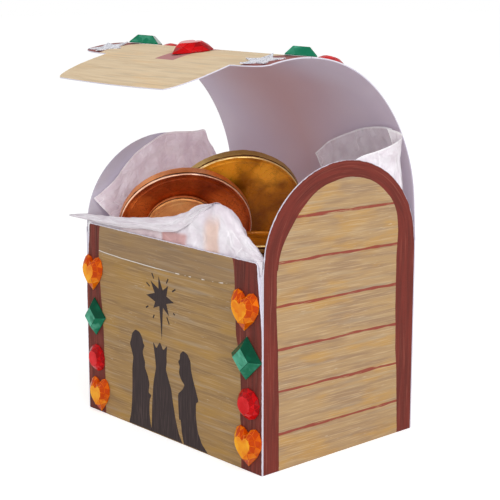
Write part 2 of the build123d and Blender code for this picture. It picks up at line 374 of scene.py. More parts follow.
def make_brush_strokes():
    """Dry brushed poster paint: long fine strokes along Place's x, patches, and pale dry specks."""
    tree, takes, gives = new_group(
        "Brush strokes",
        (("Place", "Vector"), ("Dark", "Color"), ("Middle", "Color"), ("Light", "Color"), ("Patch", "Color")),
        (("Colour", "Color"), ("Height", "Float")))
    place = takes["Place"]
    fine = grain(place, (0.02, 0.0006, 1), 5)
    thin = grain(place, (0.03, 0.0004, 1), 4, 3.7)
    broad = grain(place, (0.04, 0.0035, 1), 3, 1.3)
    patch = grain(place, (0.032, 0.01, 1), 4, 5.1)
    grey = grain(place, (0.05, 0.0022, 1), 3, 9.3)
    specks = grain(place, (0.0055, 0.0005, 1), 2, 8.3)
    scarce = step(grain(place, (0.02, 0.012, 1), 1, 6.1), 0.5, 0.64)
    colour = layered(
        tint(step(broad, 0.36, 0.56), takes["Dark"], takes["Middle"]),
        (step(patch, 0.5, 0.66) * 0.6, takes["Patch"]),
        (step(grey, 0.53, 0.7) * 0.38, srgb(178, 162, 140)),
        (step(fine, 0.5, 0.66) * 0.72, takes["Light"]),
        (step(thin, 0.46, 0.32) * 0.6, takes["Dark"]),
        (step(specks, 0.65, 0.73) * scarce * 0.45, srgb(222, 212, 196)))
    send(colour, gives["Colour"])
    send(fine + thin, gives["Height"])
    return tree


def make_brown_paint():
    """Thick brown paint with streaks along Place's x."""
    tree, takes, gives = new_group(
        "Brown paint", (("Place", "Vector"), ("Warmth", "Float")), (("Colour", "Color"), ("Height", "Float")))
    place = takes["Place"]
    fine = grain(place, (0.024, 0.0006, 1), 3, 2.2)
    broad = grain(place, (0.03, 0.0024, 1), 3, 4.4)
    colour = layered(
        tint(step(broad, 0.36, 0.64), srgb(88, 32, 22), srgb(114, 42, 31)),
        (step(fine, 0.56, 0.72) * 0.55, srgb(162, 94, 78)),
        (step(fine, 0.42, 0.28) * 0.6, srgb(70, 26, 20)),
        (takes["Warmth"], srgb(134, 48, 38)))
    send(colour, gives["Colour"])
    send(fine, gives["Height"])
    return tree


def make_unsteady_edge():
    """How far a hand-painted edge strays, in metres either way."""
    tree, takes, gives = new_group(
        "Unsteady edge", (("Place", "Vector"), ("Stray", "Float")), (("Value", "Float"),))
    slow = grain(takes["Place"], (0.012, 0.012, 0.012), 1, 1.9)
    quick = grain(takes["Place"], (0.0016, 0.0016, 0.0016), 2, 7.7)
    send((slow - 0.5 + quick * 0.25 - 0.125) * takes["Stray"], gives["Value"])
    return tree


def make_white_card():
    """Bare white card with a faint mottle and fibres, tinted lavender as a painted cool cast of shade."""
    tree, takes, gives = new_group("White card", (("Place", "Vector"),), (("Colour", "Color"), ("Height", "Float")))
    cloud = grain(takes["Place"], (0.03, 0.03, 0.03), 2)
    fibre = grain(takes["Place"], (0.0005, 0.0005, 0.0005), 2, 3.0)
    # the lavender tint is a painted cool cast of shade, not the card's own colour
    colour = tint(step(cloud, 0.3, 0.7), srgb(216, 211, 226), srgb(226, 222, 232))
    colour = tint(step(fibre, 0.5, 0.75) * 0.2, colour, srgb(204, 198, 212))
    send(colour, gives["Colour"])
    send(fibre, gives["Height"])
    return tree


def make_foil_creases():
    """Creases of pressed foil: a height, and a mask of the lines between the facets, where painted shade goes."""
    tree, takes, gives = new_group("Foil creases", (("Place", "Vector"),), (("Height", "Float"), ("Lines", "Float")))
    sway = noise(takes["Place"], 120.0, label="Color")
    bent = calc_place("MULTIPLY_ADD", sway, (0.006, 0.006, 0.006), takes["Place"])
    cells = made(tree, "TexVoronoi", "Distance", {"Vector": bent, "Scale": 150.0}, feature="DISTANCE_TO_EDGE")
    rise = noise(bent, 260.0, 3.0)
    ridge = abs(rise - 0.5)
    height = step(cells, 0.0, 0.12) * 0.4 + ridge * 4.0
    send(height, gives["Height"])
    send(step(ridge, 0.03, 0.0), gives["Lines"])
    return tree


def make_paper_creases():
    """Soft crumples of tissue paper: a height, and a mask of its crease lines."""
    tree, takes, gives = new_group("Paper creases", (("Place", "Vector"),), (("Height", "Float"), ("Lines", "Float")))
    sway = noise(takes["Place"], 40.0, label="Color")
    bent = calc_place("MULTIPLY_ADD", sway, (0.02, 0.02, 0.02), takes["Place"])
    fold = abs(noise(bent, 34.0, 1.0) - 0.5)
    pinch = abs(noise(bent, 95.0) - 0.5)
    here = step(noise(takes["Place"], 28.0), 0.42, 0.56)
    height = step(fold, 0.0, 0.14) + step(pinch, 0.0, 0.1) * 0.3
    send(height, gives["Height"])
    send(step(fold, 0.016, 0.0) * here, gives["Lines"])
    return tree


BRUSH = make_brush_strokes()
BROWN = make_brown_paint()
STRAY = make_unsteady_edge()
WHITE = make_white_card()
FOIL = make_foil_creases()
CREASES = make_paper_creases()


# ---------------------------------------------------------------- paints and papers

PAINT = {"Specular_IOR_Level": 0.3, "Roughness": 0.62}

# The front: its cracked line by (across, up), the inner edges of its brown stripes by (up, across), in metres,
# how far its sides draw in towards the rim, and how deep the wear at its edges goes
CRACK = ((-0.0674, 0.0918), (-0.0567, 0.0891), (-0.03, 0.088), (0.0043, 0.0878), (0.0513, 0.091))
LEFT_STRIPE = ((0, -0.0548), (0.049, -0.0556), (0.0875, -0.0582), (0.103, -0.056))
RIGHT_STRIPE = ((0, 0.0548), (0.054, 0.054), (0.0665, 0.0514), (0.09, 0.0507), (0.103, 0.0488))
DRAWN_IN = 0.0035
RIM_WEAR = 0.0006

# The ends: the band's inner edge, by (along, up) over the planks and by (up, along) beside them, in metres
BAND_TOP = ((-0.0427, 0.0985), (-0.0402, 0.1085), (-0.0343, 0.1177), (-0.0262, 0.1267), (-0.0167, 0.1336),
            (-0.007, 0.1365), (0.0016, 0.1376), (0.0133, 0.1361), (0.0222, 0.1329), (0.0299, 0.1273),
            (0.0347, 0.1225), (0.038, 0.1158), (0.0392, 0.107), (0.04, 0.0985))
BAND_BACK = ((0, 0.0413), (0.0188, 0.0408), (0.059, 0.0388), (0.08, 0.0384), (0.107, 0.0392))
BAND_FRONT = ((0, -0.0418), (0.0402, -0.0421), (0.0612, -0.0426), (0.0815, -0.0436), (0.1014, -0.0424))
# the lines between the planks: how far apart, how high the first is, how they slope, and between which heights
PLANK = 0.02084
FIRST_LINE = 0.0177
PLANK_SLOPE = 0.02
PLANKS_FROM, PLANKS_TO = 0.0085, 0.132
# each line's two strokes: how far it wanders, how thick it is, how much of the brush is dry
LINE_STROKES = ((0.0020, 0.00085, 0.36), (0.0034, 0.0004, 0.44))
ARCH_WEAR = 0.0009

# The lid and back: where a side stripe starts and the middle strap ends, out from the middle
SIDE_STRIPE = 0.0542
STRAP_HALF = 0.0072


def over_card(place, outside, bare, paint):
    """Paint on the outside only, and none where it has worn bare; the rest is white card."""
    return tint(outside * (1.0 - bare), use(WHITE, Place=place)["Colour"], paint)


def front_paint():
    """Tan strokes, a brown stripe down each side, the cracked white line with painted shade beside and above it, worn
    white rims; white inside.
    """
    material, tree, shader = new_material("painted front card", **PAINT)
    place = on_piece(tree)
    x, y, z = split(place)
    stray = use(STRAY, Place=place, Stray=0.0014)["Value"]
    tan = use(BRUSH, Place=point(x, z), Dark=srgb(144, 114, 76), Middle=srgb(162, 128, 80),
              Light=srgb(182, 150, 106), Patch=srgb(174, 134, 66))
    brown = use(BROWN, Place=point(z, x), Warmth=0.0)
    strayed = x + stray
    on_left = step(hand_line(z, LEFT_STRIPE) - strayed, -0.0001, 0.0001)
    on_right = step(strayed - hand_line(z, RIGHT_STRIPE), -0.0001, 0.0001)
    stripe = most(on_left, on_right)
    colour = tint(stripe, tan["Colour"], brown["Colour"])
    # the line where the paint has cracked over the old fold, with a painted shadow along it and painted shade on the
    # band above, as if bent back
    fold = hand_line(x, CRACK)
    off = abs(z + stray * 0.25 - fold)
    dashes = grain(point(x), (0.0048, 1, 1), 3)
    worn = step(x, 0.014, -0.016) + step(dashes, 0.5, 0.6)
    inside_stripes = 1.0 - stripe
    crack = least(worn, 1.0) * step(off, 0.0003, 0.00012) * inside_stripes
    # painted shade on the band above the crack, and a painted shadow along the crack
    shaded_above_crack = step(z - fold, 0.0, 0.0006) * 0.32
    shade = step(off, 0.0009, 0.0001) * 0.4
    colour = layered(
        colour,
        (shaded_above_crack * inside_stripes, srgb(134, 114, 100)),
        (shade * inside_stripes, srgb(104, 86, 64)),
        (crack, srgb(232, 224, 216)))
    # worn rims
    side = WIDTH / 2 - step(z, 0.064, 0.107) * DRAWN_IN - abs(x)
    wear = (grain(place, (0.002, 0.002, 0.002), 2, 5.0) + 0.1) * RIM_WEAR
    bare = step(least(side, FRONT - z) - wear, 0.00012, -0.00012)
    outside = y < -DEPTH / 2 + TOUCH
    colour = over_card(place, outside, bare, colour)
    height = tan["Height"] * 0.5 + crack * -0.8
    finish_shader(shader, colour, between(tan["Height"], 0.5, 0.7), height, 0.35)
    return material


def end_paint(name, side):
    """Tan planks between hand-drawn red-brown lines, and a brown band round the arch; white inside."""
    material, tree, shader = new_material(name, **PAINT)
    place = on_piece(tree)
    x, y, z = split(place)
    stray = use(STRAY, Place=place, Stray=0.0016)["Value"]
    tan = use(BRUSH, Place=point(y, z + y * PLANK_SLOPE), Dark=srgb(164, 133, 101), Middle=srgb(183, 150, 108),
              Light=srgb(203, 173, 134), Patch=srgb(198, 152, 82))
    # distance out from the middle, and along, following the arch
    above = most(z - SPRING, 0.0) * (ARCH_HALF / ARCH_RISE)
    below = least(z - SPRING, 0.0)
    out = calc("SQRT", y * y + above * above)
    along = calc("ARCTAN2", above, y) * ARCH_HALF + below * calc("SIGN", y)
    brown = use(BROWN, Place=point(along, out), Warmth=0.25)
    gap = least(hand_line(y, BAND_TOP) - z, y - hand_line(z, BAND_FRONT))
    gap = least(gap, hand_line(z, BAND_BACK) - y) + stray * 0.7
    on_planks = step(gap, -0.0001, 0.0001)
    # six plank lines, each drawn twice with a nearly dry brush
    lines = 0.0
    for number, (sway, thick, dry) in enumerate(LINE_STROKES):
        wander = (grain(point(y, z), (0.028, 0.02, 1), 1, 2.0 + number) - 0.5) * sway
        level = y * PLANK_SLOPE + z + wander
        count = (level - (FIRST_LINE - PLANK / 2)) / PLANK
        off = abs(calc("FRACT", count) - 0.5)
        width = (grain(place, (0.009, 0.009, 0.009), 1, 9.0) + 0.25) * thick
        drawn = step(off * PLANK - width, 0.00012, -0.00012)
        streaks = step(grain(point(y, z), (0.012, 0.0004, 1), 2, number + 0.5), dry - 0.06, dry + 0.04)
        lines = most(lines, drawn * streaks)
    within = (z > PLANKS_FROM) * (z < PLANKS_TO)
    planks = tint(lines * (within * 0.92), tan["Colour"], srgb(146, 58, 48))
    colour = tint(on_planks, brown["Colour"], planks)
    wear = grain(place, (0.003, 0.003, 0.003), 2, 5.0) * ARCH_WEAR * step(z, 0.096, 0.104)
    edge = least(ARCH_HALF + 0.0003 - out, z + 0.0003)
    bare = step(edge - wear, 0.00012, -0.00012)
    outside = x * side > WIDTH / 2 - TOUCH
    colour = over_card(place, outside, bare, colour)
    height = tan["Height"] * 0.5 + lines * 0.3
    finish_shader(shader, colour, between(tan["Height"], 0.5, 0.7), height, 0.35)
    return material


def strap_and_stripes(across, along, place):
    """The lid's and back's paint: pale tan, a brown stripe near each side lightened pinkish with a painted sheen, and
    a thin pinkish strap up the middle.
    """
    stray = use(STRAY, Place=place, Stray=0.0014)["Value"]
    tan = use(BRUSH, Place=point(across, along), Dark=srgb(212, 186, 150), Middle=srgb(223, 199, 164),
              Light=srgb(234, 213, 180), Patch=srgb(228, 194, 148))
    brown = use(BROWN, Place=point(along, across), Warmth=0.2)
    # the stripes' brown lightened to pink: a painted sheen
    thin = tint(0.4, brown["Colour"], srgb(178, 112, 110))
    far = abs(across) + stray
    strap = step(far, STRAP_HALF, STRAP_HALF - 0.0003) * (along < LID_END + 0.0008)
    colour = layered(
        tan["Colour"],
        (step(far, SIDE_STRIPE, SIDE_STRIPE + 0.0002), thin),
        (strap * between(tan["Height"], 0.7, 1.0), srgb(182, 124, 124)))
    return colour, tan["Height"], far


def back_paint():
    """The lid's paint, carried on down the back; white at its sides and inside."""
    material, tree, shader = new_material("painted back card", **PAINT)
    place = on_piece(tree)
    x, y, z = split(place)
    colour, height, far = strap_and_stripes(x, z - SPRING, place)
    bare = step(far, 0.0694, 0.0697)
    outside = y > DEPTH / 2 - TOUCH
    colour = over_card(place, outside, bare, colour)
    finish_shader(shader, colour, between(height, 0.5, 0.7), height, 0.3)
    return material


def lid_paint():
    """The lid's painted side; its pattern follows the card by the lid_place attribute."""
    material, tree, shader = new_material("painted lid card", **PAINT)
    place = made(tree, "Attribute", "Vector", attribute_name="lid_place")
    across, along, _ = split(place)
    colour, height, _ = strap_and_stripes(across, along, place)
    wear = grain(place, (0.003, 0.003, 0.003), 2, 5.0) * 0.0008
    bare = step(abs(across) + wear, 0.07, 0.0702)
    colour = tint(bare, colour, srgb(226, 222, 230))
    finish_shader(shader, colour, between(height, 0.48, 0.7), height, 0.3)
    return material


def lid_lining():
    """The lid's white inside, greyed with painted shade, and with painted warm shade and bounce from the coins in the
    middle of the bow.
    """
    material, tree, shader = new_material("white lid card", Roughness=0.72)
    place = made(tree, "Attribute", "Vector", attribute_name="lid_place")
    across, along, _ = split(place)
    white = use(WHITE, Place=place)
    cloud = grain(place, (0.05, 0.05, 0.05), 2, 3.3)
    # painted shade: the lining greyed towards lavender all over, and warmed in the middle where light from the coins
    # would fall
    away = abs(across + 0.004) * 15.0 + abs(along - 0.085) * 9.0
    middle = step(away + cloud * 0.25, 1.15, 0.2) * 0.62
    colour = layered(white["Colour"], (0.6, srgb(205, 184, 201)), (middle, srgb(206, 158, 153)))
    finish_shader(shader, colour, None, white["Height"], 0.2, 0.0001)
    return material


def bare_card(name):
    """White card, unpainted on both sides."""
    material, tree, shader = new_material(name, Roughness=0.75)
    place = on_piece(tree)
    white = use(WHITE, Place=place)
    finish_shader(shader, white["Colour"], None, white["Height"], 0.25, 0.0001)
    return material


def marker_ink():
    """Dark brown marker, streaky where the pen was drawn down."""
    material, tree, shader = new_material("dark marker ink", Roughness=0.6, Specular_IOR_Level=0.25)
    place = on_piece(tree)
    x, _, z = split(place)
    pen = grain(point(x, z), (0.0007, 0.014, 1), 3)
    colour = tint(step(pen, 0.35, 0.62), srgb(38, 24, 24), srgb(50, 35, 35))
    low = step(z, 0.034, 0.012) * step(pen, 0.54, 0.68)
    colour = tint(low * 0.5, colour, srgb(92, 72, 69))
    finish_shader(shader, colour, None, pen, 0.2, 0.0002)
    return material


def gem_acrylic(name, deep, body, bright):
    """Clear-cut acrylic with a foiled back: each facet has its own depth of colour, painted lighter or darker by the
    way it faces the light, with painted glints.
    """
    material, tree, shader = new_material(name, Roughness=0.1, IOR=1.4, Specular_IOR_Level=0.14)
    facet = made(tree, "Attribute", "Fac", attribute_name="facet")
    place = on_piece(tree)
    swirl = noise(place, 150.0, 1.0)
    sparkle = split(made(tree, "TexVoronoi", "Color", {"Vector": place, "Scale": 420.0}))[0]
    depth = facet + (swirl - 0.5) * 0.5 + (sparkle - 0.5) * 0.12
    colour = layered(deep, (step(depth, 0.1, 0.5), body), (step(depth, 0.5, 0.9), bright))
    send(colour, shader.inputs["Base Color"])
    return material


def glitter():
    """Silver glitter: flakes a fraction of a millimetre across, each with its own tilt and brightness."""
    material, tree, shader = new_material("silver glitter", Metallic=0.55, Roughness=0.38)
    place = on_piece(tree)
    flakes = made(tree, "TexVoronoi", "Color", {"Vector": place, "Scale": 1500.0})
    value = split(flakes)[0]
    colour = tint(value, srgb(150, 150, 166), srgb(246, 246, 252))
    finish_shader(shader, colour, between(value, 0.2, 0.6), value, 0.9, 0.0004)
    return material


def foil(name, dark, body, bright, sheen, glints=(), metal=0.6, glow=0.0):
    """Coloured foil pressed over chocolate: metal with creases, lighter in patches, painted shade in its crease lines,
    and painted highlights at its glint spots, which glow by the glow given.
    """
    material, tree, shader = new_material(name, Metallic=metal, Emission_Color=bright)
    place = on_piece(tree)
    creases = use(FOIL, Place=place)
    swell = noise(place, 70.0, 3.0)
    colour = layered(dark, (step(swell, 0.26, 0.58), body), (step(swell, 0.56, 0.74) * 0.5, bright))
    # painted highlights: lighter spots where light would catch the face, glowing by glow
    lit = 0.0
    for spot, reach in glints:
        away = made(tree, "VectorMath", "Value", {0: place, 1: spot}, operation="DISTANCE")
        lit = most(lit, step(away - (swell - 0.5) * 0.02, reach, reach * 0.15) * 0.9)
    if glints:
        colour = tint(lit, colour, bright)
        send(lit * glow, shader.inputs["Emission Strength"])
    # painted shade in the crease lines
    colour = tint(creases["Lines"] * 0.4, colour, dark)
    height = creases["Height"] + swell * 2.0
    finish_shader(shader, colour, between(swell, sheen, sheen + 0.2), height, 0.35, 0.0005)
    return material


def foil_seam():
    """The folded seam under a coin's lip, dark because little light gets in."""
    material, tree, shader = new_material("folded foil seam", Metallic=0.3, Roughness=0.6)
    place = on_piece(tree)
    uneven = grain(place, (0.003, 0.003, 0.003), 2, 1.0)
    send(tint(uneven, srgb(44, 18, 6), srgb(104, 54, 20)), shader.inputs["Base Color"])
    return material


def coins_showing(place):
    """Where the coins behind show warm through the front sheet, painted on as its colour: a copper patch, a wash
    beside it, a gold streak.
    """
    x, _, z = split(place)
    copper = step(x, -0.007, -0.004) * step(x, 0.0155, 0.0115)
    wash = step(x, -0.056, -0.03) * step(x, 0.0, -0.012)
    streak = step(x, 0.025, 0.031) * step(x, 0.0395, 0.0365)
    return (copper * 0.8 + wash * 0.35) * step(z, 0.1095, 0.107), streak * (step(z, 0.123, 0.114) * 0.7)


def tissue(name, cover, deep=False, over_coins=False, glow=0.0):
    """Thin white tissue paper: what lies behind shows through, less along its creases; deep in the box it doesn't."""
    # glow: a faint painted glow that stands in for light coming through the sheet
    material, tree, shader = new_material(name, Roughness=0.7, Specular_IOR_Level=0.3,
                                          Emission_Color=srgb(236, 214, 224), Emission_Strength=glow)
    flat = made(tree, "UVMap", "UV", uv_map="UVMap")
    if deep:
        place = on_piece(tree)
    else:
        place = calc_place("MULTIPLY", flat, (0.12, 0.08, 0.1))
    creases = use(CREASES, Place=place)
    cloud = grain(place, (0.012, 0.012, 0.012), 3)
    colour = tint(step(cloud, 0.35, 0.65), srgb(243, 233, 241), srgb(250, 244, 250))
    colour = tint(creases["Lines"] * 0.7, colour, srgb(255, 252, 255))
    if over_coins:
        low, high = coins_showing(on_piece(tree))
        colour = layered(colour, (low, srgb(208, 148, 142)), (high, srgb(242, 200, 176)))
    if not deep:
        along, up, _ = split(flat)
        # the sheet's edges paler and more opaque: partly the folded edge itself, partly a painted highlight along it
        cut = most(step(up, 0.975, 0.992), step(along, 0.012, 0.004))
        colour = tint(cut, colour, srgb(254, 252, 255))
    finish_shader(shader, colour, None, creases["Height"], 0.6, 0.0011)
    if not deep:
        veil = between(cloud, cover - 0.08, cover + 0.08) + creases["Lines"] * 0.2 + cut * 0.3
        send(least(veil, 1.0), shader.inputs["Alpha"])
    return material


PAINTED_FRONT = front_paint()
PAINTED_BACK = back_paint()
PAINTED_LID = lid_paint()
LID_LINING = lid_lining()
BARE_CARD = bare_card("bare white card")
INK = marker_ink()
ORANGE = gem_acrylic("orange gem", srgb(196, 66, 0), srgb(232, 112, 2), srgb(252, 178, 34))
GREEN = gem_acrylic("green gem", srgb(0, 68, 46), srgb(10, 112, 80), srgb(100, 186, 156))
RED = gem_acrylic("red gem", srgb(150, 0, 5), srgb(200, 3, 10), srgb(230, 44, 50))
GLITTER = glitter()
# the glint spots on the standing coins' faces are painted highlights; gold's also glow a little
COPPER = foil("copper foil", srgb(118, 40, 4), srgb(166, 66, 12), srgb(232, 118, 44), 0.26,
              (((-0.0385, -0.0430, 0.1100), 0.015), ((-0.0118, -0.0020, 0.1100), 0.018)))
COPPER_EDGE = foil("copper foil edge", srgb(186, 98, 46), srgb(220, 140, 80), srgb(244, 178, 126), 0.34)
# the lips' pale foil is a painted highlight along each coin's rim
COPPER_LIP_HIGHLIGHT = foil("copper foil lip with painted highlight", srgb(236, 170, 130), srgb(252, 206, 176), srgb(255, 230, 214), 0.2)
PALE_COPPER = foil("pale copper foil", srgb(232, 146, 80), srgb(255, 186, 110), srgb(255, 216, 150), 0.3, metal=0.4)
GOLD = foil("gold foil", srgb(150, 84, 2), srgb(200, 122, 8), srgb(255, 174, 46), 0.26,
            (((-0.0130, -0.0080, 0.1345), 0.025), ((-0.0010, 0.0170, 0.1270), 0.013)), metal=0.35, glow=0.12)
GOLD_EDGE = foil("gold foil edge", srgb(158, 122, 56), srgb(184, 148, 82), srgb(210, 176, 106), 0.36)
GOLD_LIP_HIGHLIGHT = foil("gold foil lip with painted highlight", srgb(236, 192, 104), srgb(252, 218, 144), srgb(255, 238, 184), 0.2)
SEAM = foil_seam()
TISSUE = tissue("tissue paper", 0.94)
# this sheet's glow is painted light, for the light through it from behind
TISSUE_LEFT = tissue("tissue paper with light behind", 0.82, glow=0.13)
TISSUE_LEAF = tissue("tissue paper against the lid", 0.52)
TISSUE_FRONT = tissue("tissue paper over coins", 0.92, over_coins=True)
TISSUE_CRUMPLED = tissue("crumpled tissue paper", 1.0, True)


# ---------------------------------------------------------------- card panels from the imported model

def paint_card_panels():
    """Paints the four packed walls, and leaves the floor and the tabs bare."""
    paint_with(nodes["front_panel"], PAINTED_FRONT)
    paint_with(nodes["back_panel"], PAINTED_BACK)
    paint_with(nodes["left_end_panel"], end_paint("painted left end card", -1))
    paint_with(nodes["right_end_panel"], end_paint("painted right end card", 1))
    for name in ("floor_panel", "left_floor_tab", "right_floor_tab", "front_left_glue_tab",
                 "front_right_glue_tab", "back_left_glue_tab", "back_right_glue_tab"):
        paint_with(nodes[name], BARE_CARD)


# ---------------------------------------------------------------- the bowed lid and the flap

def stretch_ends():
    """Inner-face point and direction at the start of each stretch of the lid, and at the fold."""
    y, z, angle = INSIDE, SPRING, FIRST_LEAN
    ends = [(y, z, angle)]
    for bend in BENDS:
        if bend:
            radius = STRETCH / radians(bend)
            y -= radius * (cos(radians(angle)) - cos(radians(angle + bend)))
            z -= radius * (sin(radians(angle)) - sin(radians(angle + bend)))
        else:
            y -= STRETCH * sin(radians(angle))
            z += STRETCH * cos(radians(angle))
        angle += bend
        ends.append((y, z, angle))
    return ends


ENDS = stretch_ends()


def stretch_number(run):
    """Which stretch of the lid a run up it falls in."""
    return max(0, min(len(BENDS) - 1, int((run + 1e-7) / STRETCH)))


def lid_point(run, lift=0.0):
    """The place at a run up the lid from the back panel, lifted off its inner face, and its direction there."""
    number = stretch_number(run)
    y, z, angle = ENDS[number]
    rest = run - number * STRETCH
    bend = BENDS[number]
    if bend:
        radius = STRETCH / radians(bend)
        turned = radians(angle + bend * rest / STRETCH)
        y += radius * (cos(turned) - cos(radians(angle)))
        z += radius * (sin(turned) - sin(radians(angle)))
    else:
        turned = radians(angle)
        y -= rest * sin(turned)
        z += rest * cos(turned)
    return y + lift * cos(turned), z + lift * sin(turned), turned


RULER_STEP = 0.0005
RULER = [(mark * RULER_STEP, lid_point(mark * RULER_STEP, CARD / 2))
         for mark in range(-2, int(LID_END / RULER_STEP) + 3)]


def run_of(y, z):
    """How far up the lid a place on it is."""
    run, (ry, rz, turned) = min(RULER, key=lambda mark: (mark[1][0] - y) ** 2 + (mark[1][1] - z) ** 2)
    return run - (y - ry) * sin(turned) + (z - rz) * cos(turned)


LID_COLUMNS = 56
DRAWN_STEP = 0.0013


def start_edge(name, run):
    """One edge of card across the box, ready to be drawn up the lid."""
    bpy.ops.mesh.primitive_grid_add(x_subdivisions=LID_COLUMNS, y_subdivisions=1, size=1)
    piece = bpy.context.object
    piece.name = name
    y, z, _ = lid_point(run, CARD)
    open_piece(piece)
    pick(piece, "verts", lambda v: v.co.y > 0)
    bpy.ops.mesh.delete(type="VERT")
    place_points(piece, lambda p: (p.x * WIDTH, y, z))
    bpy.ops.mesh.select_all(action="SELECT")
    return piece


def draw_up(run, stop):
    """Draws the selected edge up the lid to another run, straight or round its bend."""
    while run < stop - 1e-7:
        number = stretch_number(run)
        reach = min((number + 1) * STRETCH, stop)
        steps = max(1, round((reach - run) / DRAWN_STEP))
        if BENDS[number]:
            y, z, angle = ENDS[number]
            radius = STRETCH / radians(BENDS[number])
            centre = (0, y - radius * cos(radians(angle)), z - radius * sin(radians(angle)))
            turn = radians(BENDS[number]) * (reach - run) / STRETCH
            bpy.ops.mesh.spin(steps=steps, angle=turn, center=centre, axis=(-1, 0, 0))
        else:
            lean = radians(ENDS[number][2])
            part = (reach - run) / steps
            for _ in range(steps):
                bpy.ops.mesh.extrude_region_move(
                    TRANSFORM_OT_translate={"value": (0, -part * sin(lean), part * cos(lean))})
        run = reach


def face_outwards(piece):
    """Turns an open card's faces to its painted side, away from the inside of the lid."""
    bpy.ops.mesh.select_all(action="SELECT")
    shape = bmesh.from_edit_mesh(piece.data)
    out = 0.0
    for face in shape.faces:
        turned = lid_point(run_of(face.calc_center_median().y, face.calc_center_median().z))[2]
        out += face.normal.y * cos(turned) + face.normal.z * sin(turned)
    if out < 0:
        bpy.ops.mesh.flip_normals()


def thicken_card(piece):
    """Card thickness inwards from the painted face, white inside and on the cut edges."""
    paint_with(piece, PAINTED_LID, LID_LINING, BARE_CARD)
    work(piece, "SOLIDIFY", thickness=CARD, offset=-1, use_even_offset=True, material_offset=1, material_offset_rim=2)
    smooth(piece)


def mark_lid_place(piece, run_at):
    """Marks each point of the card with its place on the lid laid flat, for the paint."""
    marks = piece.data.attributes.new("lid_place", "FLOAT_VECTOR", "POINT")
    for vertex in piece.data.vertices:
        marks.data[vertex.index].vector = (vertex.co.x, run_at(vertex.co), 0)


EAR_START = 0.0478
EAR_SLIT = 0.0004
EAR_ROUND = 0.0046
EAR_SQUARENESS = 2.6


def round_ears(piece, first):
    """Rounds the lid's two front corners, and leaves a slit beside the flap."""
    def trimmed(p):
        share = (abs(p.x) - EAR_START) / (WIDTH / 2 - EAR_START)
        if share <= 0:
            return p
        cut = EAR_SLIT + EAR_ROUND * (1 - sqrt(max(0.0, 1 - share ** EAR_SQUARENESS)))
        run = run_of(p.y, p.z)
        run = first + (run - first) * (1 - cut / (LID_END - first))
        y, z, _ = lid_point(run, CARD)
        return (p.x, y, z)
    open_piece(piece)
    place_points(piece, trimmed)
    close_piece()


LID_FOOT = -0.00012
EAR_LENGTH_KEPT = 0.004
HALF_BEND = 0.0095


def make_lid():
    """Seven lengths of lid card, each drawn round the bends of the two stretches it spans."""
    last = len(BENDS) - 2
    stops = [LID_FOOT] + [STRETCH * (number + 1.5) for number in range(last)] + [LID_END]
    for number in range(last + 1):
        piece = start_edge(f"lid_card_{number + 1}", stops[number])
        draw_up(stops[number], stops[number + 1])
        face_outwards(piece)
        close_piece()
        if number == last:
            round_ears(piece, stops[last] + EAR_LENGTH_KEPT)
        thicken_card(piece)
        mark_lid_place(piece, lambda p: run_of(p.y, p.z))
        hinge = STRETCH * (number + 1)
        start, end = lid_point(hinge - HALF_BEND), lid_point(hinge + HALF_BEND)
        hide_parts(f"lid_strip_{number + 1}")
        if number == last:
            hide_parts("lid_strip_8")
        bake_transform(piece)


FLAP_DEPTH = 0.0345
FLAP_LEAN = 2
FLAP_CAMBER = 0.0004
FLAP_CURL = 0.0007
# where a corner starts to round, as a share of the half width, and how much it takes off
FLAP_CORNER_SHARE = 0.95
FLAP_CORNER_CUT = 0.0018
# half widths in millimetres at shares of the flap's depth
FLAP_SIDES = ((0.0, 47.5), (0.25, 48.0), (0.5, 47.9), (0.72, 46.6), (0.9, 44.6), (1.0, 42.9))


def flap_half_width(share):
    """Half the flap's width, in metres, at a share of its depth."""
    for (s0, w0), (s1, w1) in zip(FLAP_SIDES, FLAP_SIDES[1:]):
        if share <= s1:
            return (w0 + (w1 - w0) * (share - s0) / (s1 - s0)) * MM
    return FLAP_SIDES[-1][1] * MM


def make_flap():
    """The tuck flap: drawn in towards its front, its corners rounded off, slightly cambered."""
    bpy.ops.mesh.primitive_grid_add(x_subdivisions=40, y_subdivisions=18, size=1)
    flap = bpy.context.object
    flap.name = "tuck_flap_card"
    fold_y, fold_z, turned = lid_point(LID_END, CARD)
    lean = turned + radians(FLAP_LEAN)

    def laid(p):
        share = 0.5 - p.y
        across = 2 * p.x
        corner = max(0.0, abs(across) - FLAP_CORNER_SHARE) / (1 - FLAP_CORNER_SHARE)
        run = FLAP_DEPTH * share - FLAP_CORNER_CUT * corner ** 2 * share ** 6
        lift = FLAP_CAMBER * sin(pi * share) + FLAP_CURL * across * across * share * share
        y = fold_y - run * sin(lean) + lift * cos(lean)
        z = fold_z + run * cos(lean) + lift * sin(lean)
        return (across * flap_half_width(share), y, z)
    open_piece(flap)
    place_points(flap, laid)
    turn_outwards()
    if sum(face.normal.z for face in bmesh.from_edit_mesh(flap.data).faces) < 0:
        bpy.ops.mesh.flip_normals()
    close_piece()
    thicken_card(flap)
    along = Vector((0, -sin(lean), cos(lean)))
    fold = Vector((0, fold_y, fold_z))
    mark_lid_place(flap, lambda p: LID_END + (p - fold).dot(along))
    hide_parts("tuck_flap")
    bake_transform(flap)


# ---------------------------------------------------------------- gems and stars

GLUE = 0.0001
HEART_WIDTH, HEART_HEIGHT = 0.0193, 0.0044
BIG_HEART_WIDTH, BIG_HEART_HEIGHT = 0.0205, 0.0046
DIAMOND_REACH, DIAMOND_HEIGHT = 0.0107, 0.0044
ROUND_RADIUS, ROUND_HEIGHT = 0.0078, 0.0036
ROUND_SIDES = 12
CUT_EDGE = 0.00012
# a face of the big heart smaller than this is a cut edge, and not a facet
EDGE_AREA = 1.2e-7
